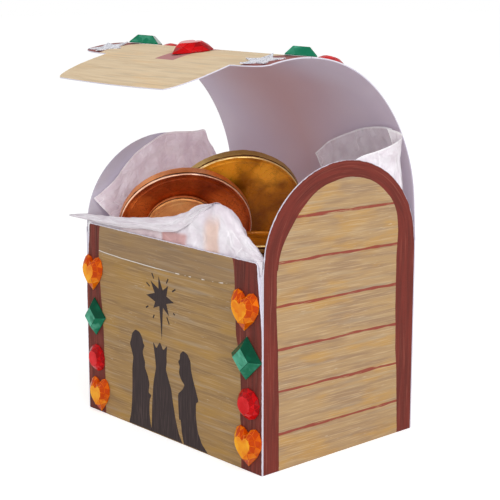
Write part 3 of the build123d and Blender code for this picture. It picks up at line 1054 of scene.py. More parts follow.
# rows of facets, as shares of the height and of the width
BRILLIANT_ROWS = ((0.1, 1.0), (0.6, 0.8), (1.0, 0.56))
DIAMOND_ROWS = ((0.12, 1.0), (1.0, 0.52))
HALF_HEART = ((0.0, 0.33), (0.12, 0.44), (0.28, 0.48), (0.42, 0.4), (0.5, 0.2), (0.47, 0.0), (0.33, -0.22),
              (0.0, -0.53))

STAR_TIP, STAR_WAIST = 0.011, 0.0055
STAR_THICKNESS = 0.0005
STAR_RAISED = 0.0002
POINTS_LIFTED = (0.0006, 0.0010, 0.0003, 0.0007, 0.0011)

# the front's two columns of gems, from the top: across and up as shares of the front, and turned in degrees
FRONT_GEMS = {
    "left": ((-0.452, 0.745, -2), (-0.444, 0.512, 3), (-0.439, 0.29, 8), (-0.421, 0.1, 3)),
    "right": ((0.416, 0.77, -3), (0.424, 0.544, -2), (0.434, 0.328, 4), (0.433, 0.126, 2)),
}
LEFT_GEMS_SLIM = Matrix.Diagonal((0.86, 0.96, 0.9, 1))
LID_GEMS_ACROSS_SHARE = 0.421


def heart_outline(size):
    """A heart, so wide, from its right half."""
    right = [(x * size, y * size) for x, y in HALF_HEART]
    return right + [(-x, y) for x, y in reversed(right[1:-1])]


def ring_outline(radius, sides):
    return [(radius * cos(2 * pi * i / sides), radius * sin(2 * pi * i / sides)) for i in range(sides)]


def turn_ring(gem, level):
    """Moves each corner of one ring half way to the next, so that the rows of facets become triangles."""
    shape = bmesh.from_edit_mesh(gem.data)
    moved = {}
    for vertex in shape.verts:
        if abs(vertex.co.z - level) > 1e-5:
            continue
        beside = [e.other_vert(vertex) for e in vertex.link_edges if abs(e.other_vert(vertex).co.z - level) < 1e-5]
        ahead = max(beside, key=lambda other: vertex.co.cross(other.co).z)
        moved[vertex] = (vertex.co + ahead.co) / 2 * 1.02
    for vertex, place in moved.items():
        vertex.co = (place.x, place.y, level)
    bmesh.update_edit_mesh(gem.data)


def paint_facet_light(gem, height):
    """Gives each facet a painted brightness: the table a painted highlight, the cut edges painted glints, the rest
    painted light or shade by the way it faces.
    """
    marks = gem.data.attributes.new("facet", "FLOAT", "FACE")
    for face in gem.data.polygons:
        # painted highlight on the table, painted glints on the cut edges
        if face.normal.z > 0.99 and face.center.z > 0.9 * height:
            depth = 0.7
        elif face.area < EDGE_AREA * (height / BIG_HEART_HEIGHT):
            depth = 0.85
        else:
            # evenly spread, so that facets side by side differ
            swing = sin(47.0 * face.center.x / height + 31.0 * face.center.y / height)
            # painted light and shade by which way the facet faces
            depth = 0.40 - 0.35 * face.normal.x - 0.25 * face.normal.y + 0.3 * swing
        marks.data[face.index].value = depth


def cut_gem(name, outline, height, rows, triangles):
    """A cut gem on its back: the outline drawn up to a girdle, then in over its rows of facets to the table."""
    bpy.ops.mesh.primitive_circle_add(vertices=len(outline), radius=1, fill_type="NGON")
    gem = bpy.context.object
    gem.name = name
    open_piece(gem)
    lay_outline(gem, [(*place, 0) for place in outline])
    bpy.ops.mesh.select_all(action="SELECT")
    level, size = 0.0, 1.0
    for share_up, share_in in rows:
        bpy.ops.mesh.extrude_region_move(TRANSFORM_OT_translate={"value": (0, 0, share_up * height - level)})
        level = share_up * height
        bpy.ops.transform.resize(value=(share_in / size, share_in / size, 1), center_override=(0, 0, level))
        size = share_in
    if triangles:
        turn_ring(gem, rows[1][0] * height)
        pick(gem, "faces", lambda face: len(face.verts) == 4)
        bpy.ops.mesh.quads_convert_to_tris(quad_method="SHORTEST_DIAGONAL")
    turn_outwards()
    pick(gem, "edges", lambda edge: True)
    bpy.ops.mesh.bevel(offset=CUT_EDGE, offset_type="OFFSET", segments=1, affect="EDGES")
    close_piece()
    paint_facet_light(gem, height)
    return gem


def on_front(across, up, turn):
    """A place on the painted front, given as shares of its width and height."""
    place = Matrix.Translation((WIDTH * across, -DEPTH / 2 - GLUE, FRONT * up))
    return place @ Matrix.Rotation(radians(90), 4, "X") @ Matrix.Rotation(radians(turn), 4, "Z")


def on_lid(across, number, share, turn=0.0):
    """A place on the lid's painted side, at a share of a stretch's length."""
    y, z, turned = lid_point((number - 1 + share) * STRETCH, CARD + GLUE)
    laid = Matrix(((1, 0, 0, across), (0, sin(turned), cos(turned), y), (0, -cos(turned), sin(turned), z),
                   (0, 0, 0, 1)))
    return laid @ Matrix.Rotation(radians(turn), 4, "Z")


def star_sticker():
    """A glitter star with a raised middle and points that have lifted."""
    bpy.ops.mesh.primitive_circle_add(vertices=10, radius=STAR_TIP, fill_type="TRIFAN")
    star = bpy.context.object
    star.name = "star_pattern"

    def pointed(p):
        if p.length < 0.001:
            return p
        angle = atan2(p.x, p.y)
        reach = STAR_TIP if round(angle / (pi / 5)) % 2 == 0 else STAR_WAIST
        return (reach * sin(angle), reach * cos(angle), 0)

    def lifted(p):
        far = p.length / STAR_TIP
        lift = POINTS_LIFTED[round(atan2(p.x, p.y) / (2 * pi / 5)) % 5]
        return (p.x, p.y, p.z + lift * far ** 3 + STAR_RAISED * (1 - far))
    open_piece(star)
    place_points(star, pointed)
    bpy.ops.mesh.select_all(action="SELECT")
    bpy.ops.mesh.subdivide(number_cuts=5)
    place_points(star, lifted)
    turn_outwards()
    close_piece()
    work(star, "SOLIDIFY", thickness=STAR_THICKNESS, offset=1)
    return star


def set_piece(piece, body, node, material):
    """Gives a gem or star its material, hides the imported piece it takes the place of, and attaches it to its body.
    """
    paint_with(piece, material)
    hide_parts(node)
    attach(piece, body)


def make_gems():
    """Cuts one of each kind of gem, and sets its copies on the front and the lid, with the two stars."""
    heart = cut_gem("heart_pattern", heart_outline(HEART_WIDTH), HEART_HEIGHT, BRILLIANT_ROWS, True)
    square = [(DIAMOND_REACH, 0), (0, DIAMOND_REACH), (-DIAMOND_REACH, 0), (0, -DIAMOND_REACH)]
    diamond = cut_gem("diamond_pattern", square, DIAMOND_HEIGHT, DIAMOND_ROWS, False)
    stone = cut_gem("round_pattern", ring_outline(ROUND_RADIUS, ROUND_SIDES), ROUND_HEIGHT, BRILLIANT_ROWS, True)
    big_heart = cut_gem("big_heart_pattern", heart_outline(BIG_HEART_WIDTH), BIG_HEART_HEIGHT, BRILLIANT_ROWS, True)
    star = star_sticker()
    kinds = (("heart_upper", heart, ORANGE, "orange_gem"), ("diamond", diamond, GREEN, "green_gem"),
             ("round", stone, RED, "red_gem"), ("heart_lower", heart, ORANGE, "orange_gem"))
    slim = {"left": LEFT_GEMS_SLIM, "right": Matrix.Identity(4)}
    for side, places in FRONT_GEMS.items():
        for (kind, pattern, material, slot), place in zip(kinds, places):
            piece = copy_to(pattern, f"{side}_{kind}_cut_gem", on_front(*place) @ slim[side])
            set_piece(piece, "chest", f"{side}_{kind}_gem", material)
    set_piece(copy_to(big_heart, "lid_heart_cut_gem", on_lid(0, 8, 0.24)), "lid_8", "lid_heart_gem", RED)
    for side, sign in (("left", -1), ("right", 1)):
        across = sign * WIDTH * LID_GEMS_ACROSS_SHARE
        piece = copy_to(diamond, f"lid_{side}_diamond_cut_gem", on_lid(across, 7, 0.34, 2 * sign))
        set_piece(piece, "lid_7", f"lid_{side}_diamond_gem", GREEN)
        flatter = on_lid(across, 6, 0.37, 7 * sign) @ Matrix.Diagonal((1, 1, 0.8, 1))
        piece = copy_to(stone, f"lid_{side}_round_cut_gem", flatter)
        set_piece(piece, "lid_6", f"lid_{side}_round_gem", RED)
        piece = copy_to(star, f"lid_{side}_glitter_star", on_lid(across, 8, 0.52, sign * 90))
        set_piece(piece, "lid_8", f"lid_{side}_star", GLITTER)
    put_away(heart, diamond, stone, big_heart, star)


# ---------------------------------------------------------------- foil coins

# each size's radius and thickness
LARGE_COIN = (0.035, 0.0065)
SMALL_COIN = (0.019, 0.004)
FLAT_COIN = (0.024, 0.005)
COIN_SIDES = 112
# the standing coins: the copper one's place, turn and lean, and where the other two are as seen from it
COPPER_PLACE = (WIDTH * -0.206, 0.0346 - INSIDE, 0.1008)
COPPER_TURN, COPPER_LEAN = 55, 26.5
GOLD_TURN, GOLD_LEAN = 57, 29.5
GOLD_FROM_COPPER = Vector((0, 0.0043, -0.0101))
GOLD_OFF_BACK = 0.0422
SMALL_FROM_COPPER = (-0.0021, 0.0026, 0.0036)
# the flat coins, by their places across and along, and what they rest on
UPPER_PLACE = (WIDTH * 0.162, 0.0405 - INSIDE)
LOWER_PLACE = (WIDTH * 0.257, 0.0279 - INSIDE)
BED_TOP = 0.093
REST_GAP = 0.0003
# how wide the edge's foils are, and their levels under the face: wall and seam up to here, lip from here
EDGE_IN = 0.0008
WALL_TOP = -0.0018
SEAM_TOP = -0.00105
LIP_FROM = -0.0006


def coin_profile(radius, thickness):
    """Rings from the back's middle round the edge to the face's middle: rounded back edge, wall, seam, lip, face."""
    r, t = radius / MM, thickness / MM
    rings = [(r - 5.5, 0.6 - t), (r - 3.4, 0.6 - t), (r - 2.8, -t), (r - 1.0, -t), (r - 0.25, 0.35 - t), (r, 1.0 - t)]
    walls = 4
    for number in range(1, walls + 1):
        rings.append((r, 1.0 - t + (t - 2.9) * number / walls))
    rings += [(r - 0.1, -1.75), (r - 0.8, -1.6), (r - 0.8, -1.15), (r - 0.15, -1.0), (r - 0.05, -0.7),
              (r - 0.15, -0.25), (r - 0.5, 0.0), (r - 1.2, -0.05), (r - 1.6, -0.4), (r - 2.0, -0.95),
              (r - 3.4, -1.05), (r - 3.8, -0.85), (r - 4.2, -1.05)]
    face = r - 6.0
    while face > 1.5:
        rings.append((face, -1.05 + 0.3 * (1 - (face / r) ** 2)))
        face -= 1.9
    return [(x * MM, z * MM) for x, z in rings]


def make_coin(name, radius, thickness):
    """A foil coin drawn out ring by ring from one circle."""
    rings = coin_profile(radius, thickness)
    bpy.ops.mesh.primitive_circle_add(vertices=COIN_SIDES, radius=rings[0][0], location=(0, 0, rings[0][1]))
    coin = bpy.context.object
    coin.name = name
    bpy.ops.object.transform_apply(location=True, rotation=True, scale=True)
    open_piece(coin)
    bpy.ops.mesh.select_all(action="SELECT")
    for (r0, z0), (r1, z1) in zip(rings, rings[1:]):
        bpy.ops.mesh.extrude_region_move(TRANSFORM_OT_translate={"value": (0, 0, z1 - z0)})
        bpy.ops.transform.resize(value=(r1 / r0, r1 / r0, 1), center_override=(0, 0, z1))
    for radius_end, level in (rings[0], rings[-1]):
        pick(coin, "verts", lambda v: abs(v.co.z - level) < 1e-6 and abs(v.co.xy.length - radius_end) < 1e-5)
        bpy.ops.mesh.edge_face_add()
        bpy.ops.mesh.select_mode(type="FACE")
        bpy.ops.mesh.poke()
    turn_outwards()
    close_piece()
    return coin


def crinkle_texture(name, size, kind="CLOUDS"):
    """Bumps of about this size, in metres."""
    texture = bpy.data.textures.new(name, kind)
    texture.noise_scale = size
    return texture


def facing(origin, turn, lean):
    """A standing coin's place: turned from the front towards the right, its top leaning forward."""
    turn, lean = radians(turn), radians(lean)
    out = Vector((sin(turn) * cos(lean), -cos(turn) * cos(lean), -sin(lean)))
    across = Vector((cos(turn), sin(turn), 0))
    up = out.cross(across)
    matrix = Matrix((across, up, out)).transposed().to_4x4()
    matrix.translation = Vector(origin)
    return matrix


def make_coins():
    """Two large coins and a small one standing, two lying flat, each with foil on face, wall, seam and lip."""
    copper = facing(COPPER_PLACE, COPPER_TURN, COPPER_LEAN)
    behind = copper @ GOLD_FROM_COPPER
    across = copper.col[0].xyz
    behind += across * ((INSIDE - GOLD_OFF_BACK - behind.y) / across.y)
    gold = facing(behind, GOLD_TURN, GOLD_LEAN)
    small = copper @ Matrix.Translation(SMALL_FROM_COPPER)
    lower_face = BED_TOP + REST_GAP + FLAT_COIN[1]
    upper_face = lower_face + REST_GAP + SMALL_COIN[1]
    upper = Matrix.Translation((*UPPER_PLACE, upper_face))
    lower = Matrix.Translation((*LOWER_PLACE, lower_face))
    copper_foils = (COPPER, COPPER_EDGE, COPPER_LIP_HIGHLIGHT, SEAM)
    gold_foils = (GOLD, GOLD_EDGE, GOLD_LIP_HIGHLIGHT, SEAM)
    coins = (
        ("copper_coin_large", copper, *LARGE_COIN, copper_foils),
        ("copper_coin_small", small, *SMALL_COIN, (PALE_COPPER, COPPER_EDGE, PALE_COPPER, SEAM)),
        ("gold_coin_large", gold, *LARGE_COIN, gold_foils),
        ("gold_coin_flat_upper", upper, *SMALL_COIN, gold_foils),
        ("gold_coin_flat_lower", lower, *FLAT_COIN, gold_foils),
    )
    broad = crinkle_texture("foil swell", 0.011)
    tight = crinkle_texture("foil wrinkle", 0.0022)
    for name, place, radius, thickness, foils in coins:
        coin = make_coin(name.replace("coin", "foil_coin"), radius, thickness)
        coin.data.transform(place)
        work(coin, "DISPLACE", texture=broad, strength=0.0005, mid_level=0.5)
        work(coin, "DISPLACE", texture=tight, strength=0.0003, mid_level=0.5)
        smooth(coin, 40)
        paint_with(coin, *foils)
        back = place.inverted()
        for face in coin.data.polygons:
            spot = back @ face.center
            if spot.xy.length > radius - EDGE_IN:
                if spot.z < WALL_TOP:
                    face.material_index = 1
                elif spot.z < SEAM_TOP:
                    face.material_index = 3
                # the lip gets the pale foil of its painted highlight
                elif spot.z > LIP_FROM:
                    face.material_index = 2
        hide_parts(name)
        "copper_foil" if "copper" in name else "gold_foil"
        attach(coin, "chest")


# ---------------------------------------------------------------- tissue paper

PAPER = 0.00012
PAPER_FINENESS = 3
END_INSIDE = 0.0690
PAPER_GAP = 0.0003
# the front sheet is held in as far out as this, and the sheets just over a rim as much as those under it
FRONT_REACH = 0.0698
OVER_FRONT_RIM = 0.0005
OVER_END_RIM = 0.0004
# the leaf up the back and the flap along the end keep this much apart at the corner
LEAF_END = 0.0682
FLAP_BACK = 0.0687


def tissue_sheet(name, net, swell, crease):
    """A sheet of tissue laid through a net of points in millimetres, in columns from low to high, then creased."""
    columns, rows = len(net), len(net[0])
    bpy.ops.mesh.primitive_grid_add(x_subdivisions=columns - 1, y_subdivisions=rows - 1, size=1)
    sheet = bpy.context.object
    sheet.name = name
    open_piece(sheet)

    def knot(p):
        row, column = round((p.y + 0.5) * (rows - 1)), round((p.x + 0.5) * (columns - 1))
        return Vector(net[column][row]) * MM
    place_points(sheet, knot)
    close_piece()
    work(sheet, "SUBSURF", levels=PAPER_FINENESS, render_levels=PAPER_FINENESS, boundary_smooth="PRESERVE_CORNERS")
    work(sheet, "DISPLACE", texture=crinkle_texture("tissue swell", 0.014), strength=swell, mid_level=0.5)
    work(sheet, "DISPLACE", texture=crinkle_texture("tissue crease", 0.007, "VORONOI"), strength=crease, mid_level=0.4)
    return sheet


def keep_in_chest(sheet):
    """Holds a sheet inside the front rim and the end panels, where it is lower than they are."""
    for vertex in sheet.data.vertices:
        p = vertex.co
        if p.z < FRONT + OVER_FRONT_RIM and p.y < -INSIDE + PAPER_GAP and abs(p.x) < FRONT_REACH:
            p.y = -INSIDE + PAPER_GAP
        end_top = SPRING + ARCH_RISE * sqrt(max(0.0, 1 - (p.y / ARCH_HALF) ** 2)) + OVER_END_RIM
        if p.z < end_top and p.y > -INSIDE and abs(p.x) > END_INSIDE:
            p.x = END_INSIDE if p.x > 0 else -END_INSIDE


def thin_paper(sheet, node, paper, bends=False):
    work(sheet, "SOLIDIFY", thickness=PAPER, offset=0)
    smooth(sheet, 60)
    paint_with(sheet, paper)
    if node:
        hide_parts(node)
    if not bends:
        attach(sheet, "chest")


def front_wall_net():
    """Tissue standing inside the front rim, rising to a soft hump on the right and going down behind it."""
    columns = ((-68.8, 104.0), (-60, 106.2), (-50, 107.6), (-40, 109.0), (-31, 110.4), (-20, 112.0), (-10, 113.4),
               (0, 115.4), (9, 118.6), (17, 123.0), (25, 125.8), (32, 126.3), (38, 125.2), (44, 121.8), (48.5, 117.6),
               (52, 115.2), (57, 112.4), (61.5, 109.4), (65, 105.8), (68.8, 103.8))
    low = 103.4
    net = []
    for x, top in columns:
        hump = max(0.0, 1 - ((x - 30) / 25) ** 2)
        net.append((
            (x, -50.9, 89), (x, -51.2, 97), (x, -51.3, low),
            (x, -51.2 - 0.8 * hump, low + (top - low) * 0.45),
            (x, -50.2 - 0.4 * hump, low + (top - low) * 0.85),
            (x, -48.6 + 1.2 * hump, top),
            (x, -46.8 + 4.6 * hump, max(top - 2.2, 100)),
            (x, -46.0 + 8.0 * hump, max(top - 8.5, 99)),
            (x, -45.4 + 9.5 * hump, max(top - 15, 97) + 6 * hump)))
    return net


def front_lapel_net():
    """The folded-over edge of the front sheet, out to the tip over the left corner."""
    columns = ((-80.6, -55.4, 105.1, 105.5), (-74.6, -54.6, 104.9, 106.9), (-68.2, -53.8, 104.5, 107.5),
               (-61, -53.4, 104.2, 108.0), (-54, -53.3, 104.1, 108.4), (-47, -53.3, 104.2, 108.9),
               (-40, -53.2, 104.4, 109.5), (-30, -53.2, 105.3, 110.9), (-20, -53.2, 106.6, 112.2),
               (-10, -53.2, 107.0, 113.6), (-2, -53.1, 107.4, 115.0), (5, -53.0, 108.4, 116.8),
               (11, -52.5, 110.6, 118.8), (16, -52.1, 113.8, 121.0), (21, -51.6, 117.6, 123.2),
               (26, -50.8, 121.6, 124.9), (31, -49.8, 124.6, 126.0))
    net = []
    for x, y, low, top in columns:
        slim = min(1.0, (x + 81.4) / 16)
        fade = max(0.0, (x - 9) / 25)
        net.append((
            (x, y + 0.5 * slim, low),
            (x, y - 0.3 * slim, low + (top - low) * 0.25),
            (x, y - 0.1 * slim, low + (top - low) * 0.6),
            (x, y + 1.6 * slim, low + (top - low) * 0.92),
            (x, y + (3.6 + 1.0 * fade) * slim, top),
            (x, y + (5.6 + 3.0 * fade) * slim, top - 2.4 * slim)))
    return net


def make_front_tissue():
    """The sheet inside the front rim, and its folded-over edge."""
    wall = tissue_sheet("front_tissue", front_wall_net(), 0.0016, 0.0012)
    keep_in_chest(wall)
    thin_paper(wall, "tissue_front", TISSUE_FRONT)
    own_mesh(wall)
    edge = tissue_sheet("front_tissue_edge", front_lapel_net(), 0.0009, 0.0005)
    keep_in_chest(edge)
    thin_paper(edge, None, TISSUE)
    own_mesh(edge)


def left_sheet_net():
    """The sheet standing along the left end: its outline runs up the arch to a point at the back."""
    columns = (
        ((-34, 92), (-38, 103), (-44, 110), (-48.1, 115.3)),
        ((-29, 92), (-33, 104), (-38, 112), (-42, 118.9)),
        ((-24, 91), (-27, 105), (-31, 114), (-35.4, 122.6)),
        ((-18, 90), (-20, 107), (-23, 119), (-25.6, 133.4)),
        ((-11, 90), (-13, 109), (-15, 124), (-17.6, 138.4)),
        ((-5, 90), (-6, 110), (-8, 127), (-10.4, 142.0)),
        ((2, 90), (1, 111), (-1, 129), (-3.4, 145.8)),
        ((9, 90), (8, 112), (7, 130), (5.6, 146.6)),
        ((15, 90), (14, 112), (13, 130), (12, 146.0)),
        ((20, 90), (20, 112), (19, 130), (18.4, 145.4)),
        ((26, 91), (25, 112), (24.4, 129), (24.0, 145.4)),
        ((31, 92), (29, 112), (29, 127), (28.6, 146.8)),
        ((36, 93), (34.5, 112), (33.6, 124), (32.2, 137.6)),
        ((41, 94), (40, 108), (38.6, 118), (36.6, 132.0)),
    )
    folds = (0.6, 2.4, 0.4, 3.4, 1.0, 3.8, 0.8, 2.6, 4.2, 1.2, 3.2, 0.8, 2.8, 0.6)
    # how far each row stands off the end, and how much of the folds it has
    rows = ((5.5, 1.0), (4.0, 0.9), (2.0, 0.7), (0.4, 0.35))
    return [[(-68.7 + off + fold * share, y, z) for (off, share), (y, z) in zip(rows, column)]
            for fold, column in zip(folds, columns)]


def make_left_tissue():
    """The sheet along the left end."""
    sheet = tissue_sheet("left_tissue", left_sheet_net(), 0.0026, 0.0014)
    keep_in_chest(sheet)
    thin_paper(sheet, "tissue_back_left", TISSUE_LEFT)
    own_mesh(sheet)


def back_leaf_net():
    """The leaf up the back, inside the lid, as far as the back right corner."""
    top = ((8.6, 41.2, 139.2), (18.4, 39.9, 146.4), (26.7, 38.8, 149.7), (34.6, 38.0, 152.6), (42.2, 36.9, 155.1),
           (50.1, 35.8, 157.3), (57.6, 35.2, 158.4), (63.2, 35.0, 158.6), (67.9, 35.4, 158.2))
    inwards = ((12, 10, 6), (4, 3.5, 2.2))
    net = []
    for number, (x, y, z) in enumerate(top):
        off = (0.2, 1.2)[number % 2]
        low = [min(x, 67.8) + (inwards[number][row] if number < 2 else 0) for row in range(3)]
        net.append((
            (low[0], 48.8, 96),
            (low[1], 45.6 - off, 96 + (z - 96) * 0.42),
            (low[2], 42.6 - off, 96 + (z - 96) * 0.74),
            (x, y, z)))
    return net


def end_flap_net():
    """The flap along the right end, with the sheet's corner folded out over the arch."""
    return (
        ((68.8, 46.4, 96), (68.8, 44.4, 120), (68.9, 41.0, 139.6), (70.6, 29.0, 158.8)),
        ((68.8, 45.0, 96), (68.8, 43.4, 120), (70.2, 40.0, 141.0), (81.2, 32.6, 157.0)),
        ((67.8, 39, 96), (68.4, 39.0, 118), (69.0, 37.2, 137), (73.2, 32.0, 151.4)),
        ((67.4, 31, 96), (68.0, 30.6, 118), (68.6, 29.4, 136), (69.8, 27.8, 148.9)),
        ((67.8, 23, 96), (68.2, 22.5, 118), (68.6, 21.6, 135.4), (69.0, 20.4, 147.6)),
        ((66.8, 15, 96), (67.6, 15, 118), (68.4, 13.8, 135), (68.7, 12.4, 146.8)),
        ((67.8, 7, 97), (68.2, 7, 117), (68.5, 6, 132), (68.6, 4.6, 143.4)),
        ((67.2, -1, 98), (68.0, -1, 115), (68.3, -2, 128), (68.4, -3.4, 138.0)),
    )


def cut_away(sheet, upper):
    """Takes away the upper or the lower half of a sheet, along the middle of its rows."""
    open_piece(sheet)
    flat = bmesh.from_edit_mesh(sheet.data).loops.layers.uv.active
    pick(sheet, "faces", lambda face: (sum(loop[flat].uv.y for loop in face.loops) / len(face.loops) > 0.5) == upper)
    bpy.ops.mesh.delete(type="FACE")
    close_piece()


def make_back_tissue():
    """The leaf in two halves, and the flap that folds down along the end."""
    foot = tissue_sheet("back_right_tissue_foot", back_leaf_net(), 0.0012, 0.0008)
    keep_in_chest(foot)
    for vertex in foot.data.vertices:
        vertex.co.x = min(vertex.co.x, LEAF_END)
    leaf = copy_to(foot, "back_right_tissue", Matrix.Identity(4))
    cut_away(foot, True)
    cut_away(leaf, False)
    thin_paper(foot, None, TISSUE_LEAF, bends=True)
    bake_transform(foot)
    thin_paper(leaf, "tissue_back_right", TISSUE_LEAF, bends=True)
    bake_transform(leaf)
    flap = tissue_sheet("right_tissue_flap", end_flap_net(), 0.0010, 0.0006)
    keep_in_chest(flap)
    for vertex in flap.data.vertices:
        p = vertex.co
        if p.z > 0.118 and p.y > 0.030:
            p.x = max(p.x, FLAP_BACK)
    thin_paper(flap, None, TISSUE)
    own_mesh(flap)


BED_HALF_WIDTH = 0.0688
BED_HALF_DEPTH = 0.0508
BED_FOOT = 0.0014
BED_GRAIN = 0.0019


def make_tissue_bed():
    """Crumpled paper filling the chest under the coins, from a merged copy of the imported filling."""
    bed = nodes["tissue_bed"].copy()
    bed.data = nodes["tissue_bed"].data.copy()
    for key in list(bed.keys()):
        del bed[key]
    bed.parent = None
    bed.name = "crumpled_tissue_bed"
    bpy.context.scene.collection.objects.link(bed)
    open_piece(bed)
    bpy.ops.mesh.select_all(action="SELECT")
    bpy.ops.mesh.remove_doubles(threshold=0.00001)
    close_piece()
    work(bed, "REMESH", mode="VOXEL", voxel_size=BED_GRAIN)
    work(bed, "DISPLACE", texture=crinkle_texture("bed swell", 0.012), strength=0.0035, mid_level=0.55)
    work(bed, "DISPLACE", texture=crinkle_texture("bed crease", 0.006, "VORONOI"), strength=0.0022, mid_level=0.4)
    for vertex in bed.data.vertices:
        p = vertex.co
        p.x = max(-BED_HALF_WIDTH, min(BED_HALF_WIDTH, p.x))
        p.y = max(-BED_HALF_DEPTH, min(BED_HALF_DEPTH, p.y))
        p.z = max(BED_FOOT, p.z)
    smooth(bed, 50)
    paint_with(bed, TISSUE_CRUMPLED)
    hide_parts("tissue_bed")
    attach(bed, "chest")


# ---------------------------------------------------------------- the inked picture

INK_SUNK = 0.00001
INK_THICKNESS = 0.00006
# the inked star: its middle, and the reach of each point and hollow in turn, in millimetres
# (the figures' outlines below are by across and up, in millimetres too)
STAR_MIDDLE = (-6.1, 72.7)
STAR_REACHES = (11.4, 5.0, 9.8, 5.2, 10.8, 5.0, 10.2, 4.8, 21.4, 4.2, 8.4, 5.0, 11.6, 5.2, 11.2, 5.1)
ROBED_LEFT = (
    (-35.2, 0.4), (-32.6, 6), (-31, 13), (-30.4, 22), (-30.2, 31), (-29.4, 37), (-30.4, 40.5), (-31.4, 44),
    (-30.6, 46.5), (-29.8, 50), (-27.8, 52.4), (-25.2, 51.6), (-23.6, 48.6), (-23.2, 46.4), (-22.4, 45.2),
    (-23, 43.6), (-23.6, 41.8), (-23.2, 39.4), (-22.2, 36.6), (-22.4, 33.6), (-20.8, 30), (-19.8, 25.6),
    (-20.6, 20.8), (-18.8, 19.8), (-20, 17), (-19.8, 10), (-18.2, 4.6), (-15.9, 0.4),
)
ROBED_MIDDLE = (
    (-15.3, 0.4), (-14, 9), (-13.2, 18), (-12.4, 27), (-11.4, 31.5), (-10.4, 35.4), (-10.8, 39.6), (-11.4, 43.4),
    (-12.4, 49), (-9.9, 45.8), (-7.3, 50), (-4.9, 45.9), (-2, 49.2), (-2.6, 43.6), (-2.5, 40.2), (-3.2, 36.4),
    (-1.4, 31.8), (0.6, 27), (1.9, 20), (3.8, 12), (6.4, 5.4), (9.9, 0.4),
)
ROBED_RIGHT = (
    (13.6, 0.4), (13.2, 6), (13.2, 12.6), (12.2, 12.4), (11.6, 19), (11, 26), (13.4, 28.8), (14.6, 31.6),
    (12.4, 34), (11.2, 37.2), (11.8, 40.6), (10.8, 42.8), (11.9, 44.4), (12, 47), (13.8, 49.2), (16.4, 48.2),
    (18.2, 45), (18.4, 41), (19.6, 36), (21.6, 30), (23.2, 25.6), (21.8, 24.2), (22.2, 17), (24, 9.6),
    (27.4, 4), (32.2, 0.4),
)

# each figure's outline, its shift to the right, and the foot, lean and width that broaden it
FIGURES = (("left", ROBED_LEFT, 1.2, (-26.0, 1.5, 1.38)), ("middle", ROBED_MIDDLE, 0.2, (-2.6, -4.4, 1.12)),
           ("right", ROBED_RIGHT, -2.1, (22.0, -9.4, 1.32)))


def ink_shape(name, outline):
    """A filled outline on the front, drawn in marker, in millimetres across and up."""
    bpy.ops.mesh.primitive_circle_add(vertices=len(outline), radius=1, fill_type="NGON")
    shape = bpy.context.object
    shape.name = name
    open_piece(shape)
    lay_outline(shape, [(x * MM, -DEPTH / 2 + INK_SUNK, z * MM) for x, z in outline])
    bpy.ops.mesh.select_all(action="SELECT")
    bpy.ops.mesh.extrude_region_move(TRANSFORM_OT_translate={"value": (0, -INK_THICKNESS, 0)})
    turn_outwards()
    close_piece()
    paint_with(shape, INK)
    return shape


def soften(outline, cut=0.14):
    """Cuts the corners of an outline a little, as a felt pen does, and leaves the foot on the panel's edge."""
    softened = []
    for i, (x, z) in enumerate(outline):
        before, after = outline[i - 1], outline[(i + 1) % len(outline)]
        if z < 1:
            softened.append((x, z))
            continue
        for other in (before, after):
            softened.append((x + (other[0] - x) * cut, z + (other[1] - z) * cut))
    return softened


def broaden(x, z, foot, lean, width):
    """Makes a figure wider about its own line, from its foot up."""
    line = foot + lean * min(1.0, z / 32)
    return line + (x - line) * (1 + (width - 1) * min(1.0, z / 14)), z


def from_star(angle, reach, aside=0.0):
    """A place at a reach from the star's middle, and a little aside of that line."""
    return (STAR_MIDDLE[0] + reach * sin(angle) + aside * cos(angle),
            STAR_MIDDLE[1] + reach * cos(angle) - aside * sin(angle))


def make_picture():
    """The inked star with its ring of dashes, and the three robed figures."""
    sway = (-0.13, 0.0, -0.1, 0.0, 0.03, 0.0, 0.08, 0.0, -0.03)
    star = [from_star(i * pi / 8 + sway[i % len(sway)], reach) for i, reach in enumerate(STAR_REACHES)]
    shapes = [ink_shape("inked_star", star)]
    for i in range(8):
        angle = (i + 0.5) * pi / 4 + 0.12 * (-1) ** i
        near, far, half = 10.0 + 0.8 * (i % 3), 13.0 + 0.9 * (i % 2), 0.4
        corners = ((near, half), (far, half), (far, -half), (near, -half))
        shapes.append(ink_shape(f"inked_dash_{i + 1}", [from_star(angle, *corner) for corner in corners]))
    take_up(shapes[0])
    for shape in shapes:
        shape.select_set(True)
    bpy.ops.object.join()
    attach(shapes[0], "chest")
    for name, outline, shift, stance in FIGURES:
        moved = [broaden(x + shift, z, *stance) for x, z in outline]
        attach(ink_shape(f"inked_{name}_figure", soften(moved)), "chest")


# ---------------------------------------------------------------- room, lamps and camera

FLOOR_DROP = 0.0002
FLOOR_GLOW = 0.5
# how bright the room is as light, and how much brighter as it is seen
ROOM_LIGHT, ROOM_SEEN = 0.6, 0.4


def seen_directly(tree):
    """1 for what the camera sees, straight, in a reflection or through a clear piece, and 0 for light itself."""
    path = add(tree, "LightPath").outputs
    camera, glossy, clear = (Amount(path[f"Is {kind} Ray"]) for kind in ("Camera", "Glossy", "Transmission"))
    return least(camera + glossy + clear, 1.0)


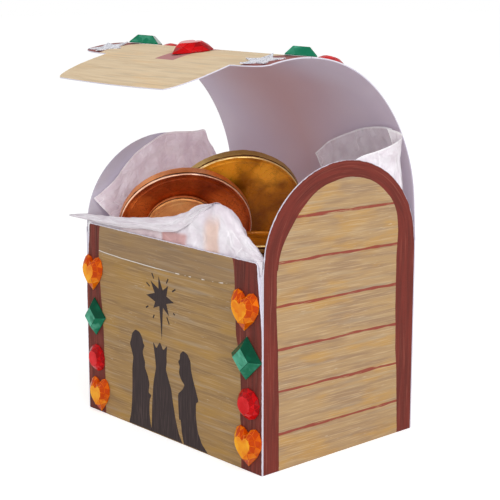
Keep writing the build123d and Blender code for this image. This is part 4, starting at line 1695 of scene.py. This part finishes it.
def make_room():
    """A pale floor that glows a little for the camera, and a white room round it."""
    bpy.ops.mesh.primitive_plane_add(size=8, location=(0, 0, -FLOOR_DROP))
    floor = bpy.context.object
    floor.name = "floor"
    bpy.ops.object.transform_apply(location=True, rotation=True, scale=True)
    material = bpy.data.materials.new("pale floor")
    material.use_nodes = True
    tree = material.node_tree
    tree.nodes.clear()
    matt = made(tree, "BsdfDiffuse", 0, {"Color": (0.86, 0.86, 0.86, 1)})
    glow = made(tree, "Emission", 0, {"Strength": seen_directly(tree) * FLOOR_GLOW})
    add(tree, "OutputMaterial", {"Surface": made(tree, "AddShader", 0, {0: matt, 1: glow})})
    paint_with(floor, material)

    world = bpy.data.worlds.new("studio")
    bpy.context.scene.world = world
    world.use_nodes = True
    tree = world.node_tree
    tree.nodes.clear()
    strength = seen_directly(tree) * ROOM_SEEN + ROOM_LIGHT
    sky = made(tree, "Background", 0, {"Color": (1, 1, 1, 1), "Strength": strength})
    add(tree, "OutputWorld", {"Surface": sky})


# name, place, size and power
LAMPS = (("key lamp", (1.1, -0.25, 1.05), 0.9, 6.4), ("low lamp", (1.25, -0.62, 0.42), 0.8, 3.7),
         ("fill lamp", (-0.4, -1.35, 0.7), 1.2, 3.5))
LAMPS_AIM = Vector((0, 0, 0.1))
CAMERA_PLACE = (0.5333, -0.4740, 0.2436)
CAMERA_DOWN, CAMERA_TURNED = 12.058, 48.228
CAMERA_LENS = 100.8


def make_lamp(name, place, size, power):
    """A square lamp, aimed at the chest."""
    lamp = bpy.data.lights.new(name, "AREA")
    lamp.size = size
    lamp.energy = power
    holder = bpy.data.objects.new(name, lamp)
    bpy.context.scene.collection.objects.link(holder)
    holder.location = place
    holder.rotation_euler = (LAMPS_AIM - Vector(place)).to_track_quat("-Z", "Y").to_euler()


def make_camera():
    """The camera, from the front's right, a little above."""
    camera = bpy.data.objects.new("camera", bpy.data.cameras.new("camera"))
    bpy.context.scene.collection.objects.link(camera)
    camera.location = CAMERA_PLACE
    camera.rotation_euler = (radians(90 - CAMERA_DOWN), 0, radians(CAMERA_TURNED))
    camera.data.sensor_width = 36
    camera.data.lens = CAMERA_LENS
    camera.data.clip_start = 0.01
    camera.data.clip_end = 20
    bpy.context.scene.camera = camera


make_camera()
paint_card_panels()
make_lid()
make_flap()
make_gems()
make_coins()
make_front_tissue()
make_left_tissue()
make_back_tissue()
make_tissue_bed()
make_picture()
make_room()
for lamp_values in LAMPS:
    make_lamp(*lamp_values)
bpy.context.scene.view_settings.view_transform = "Standard"
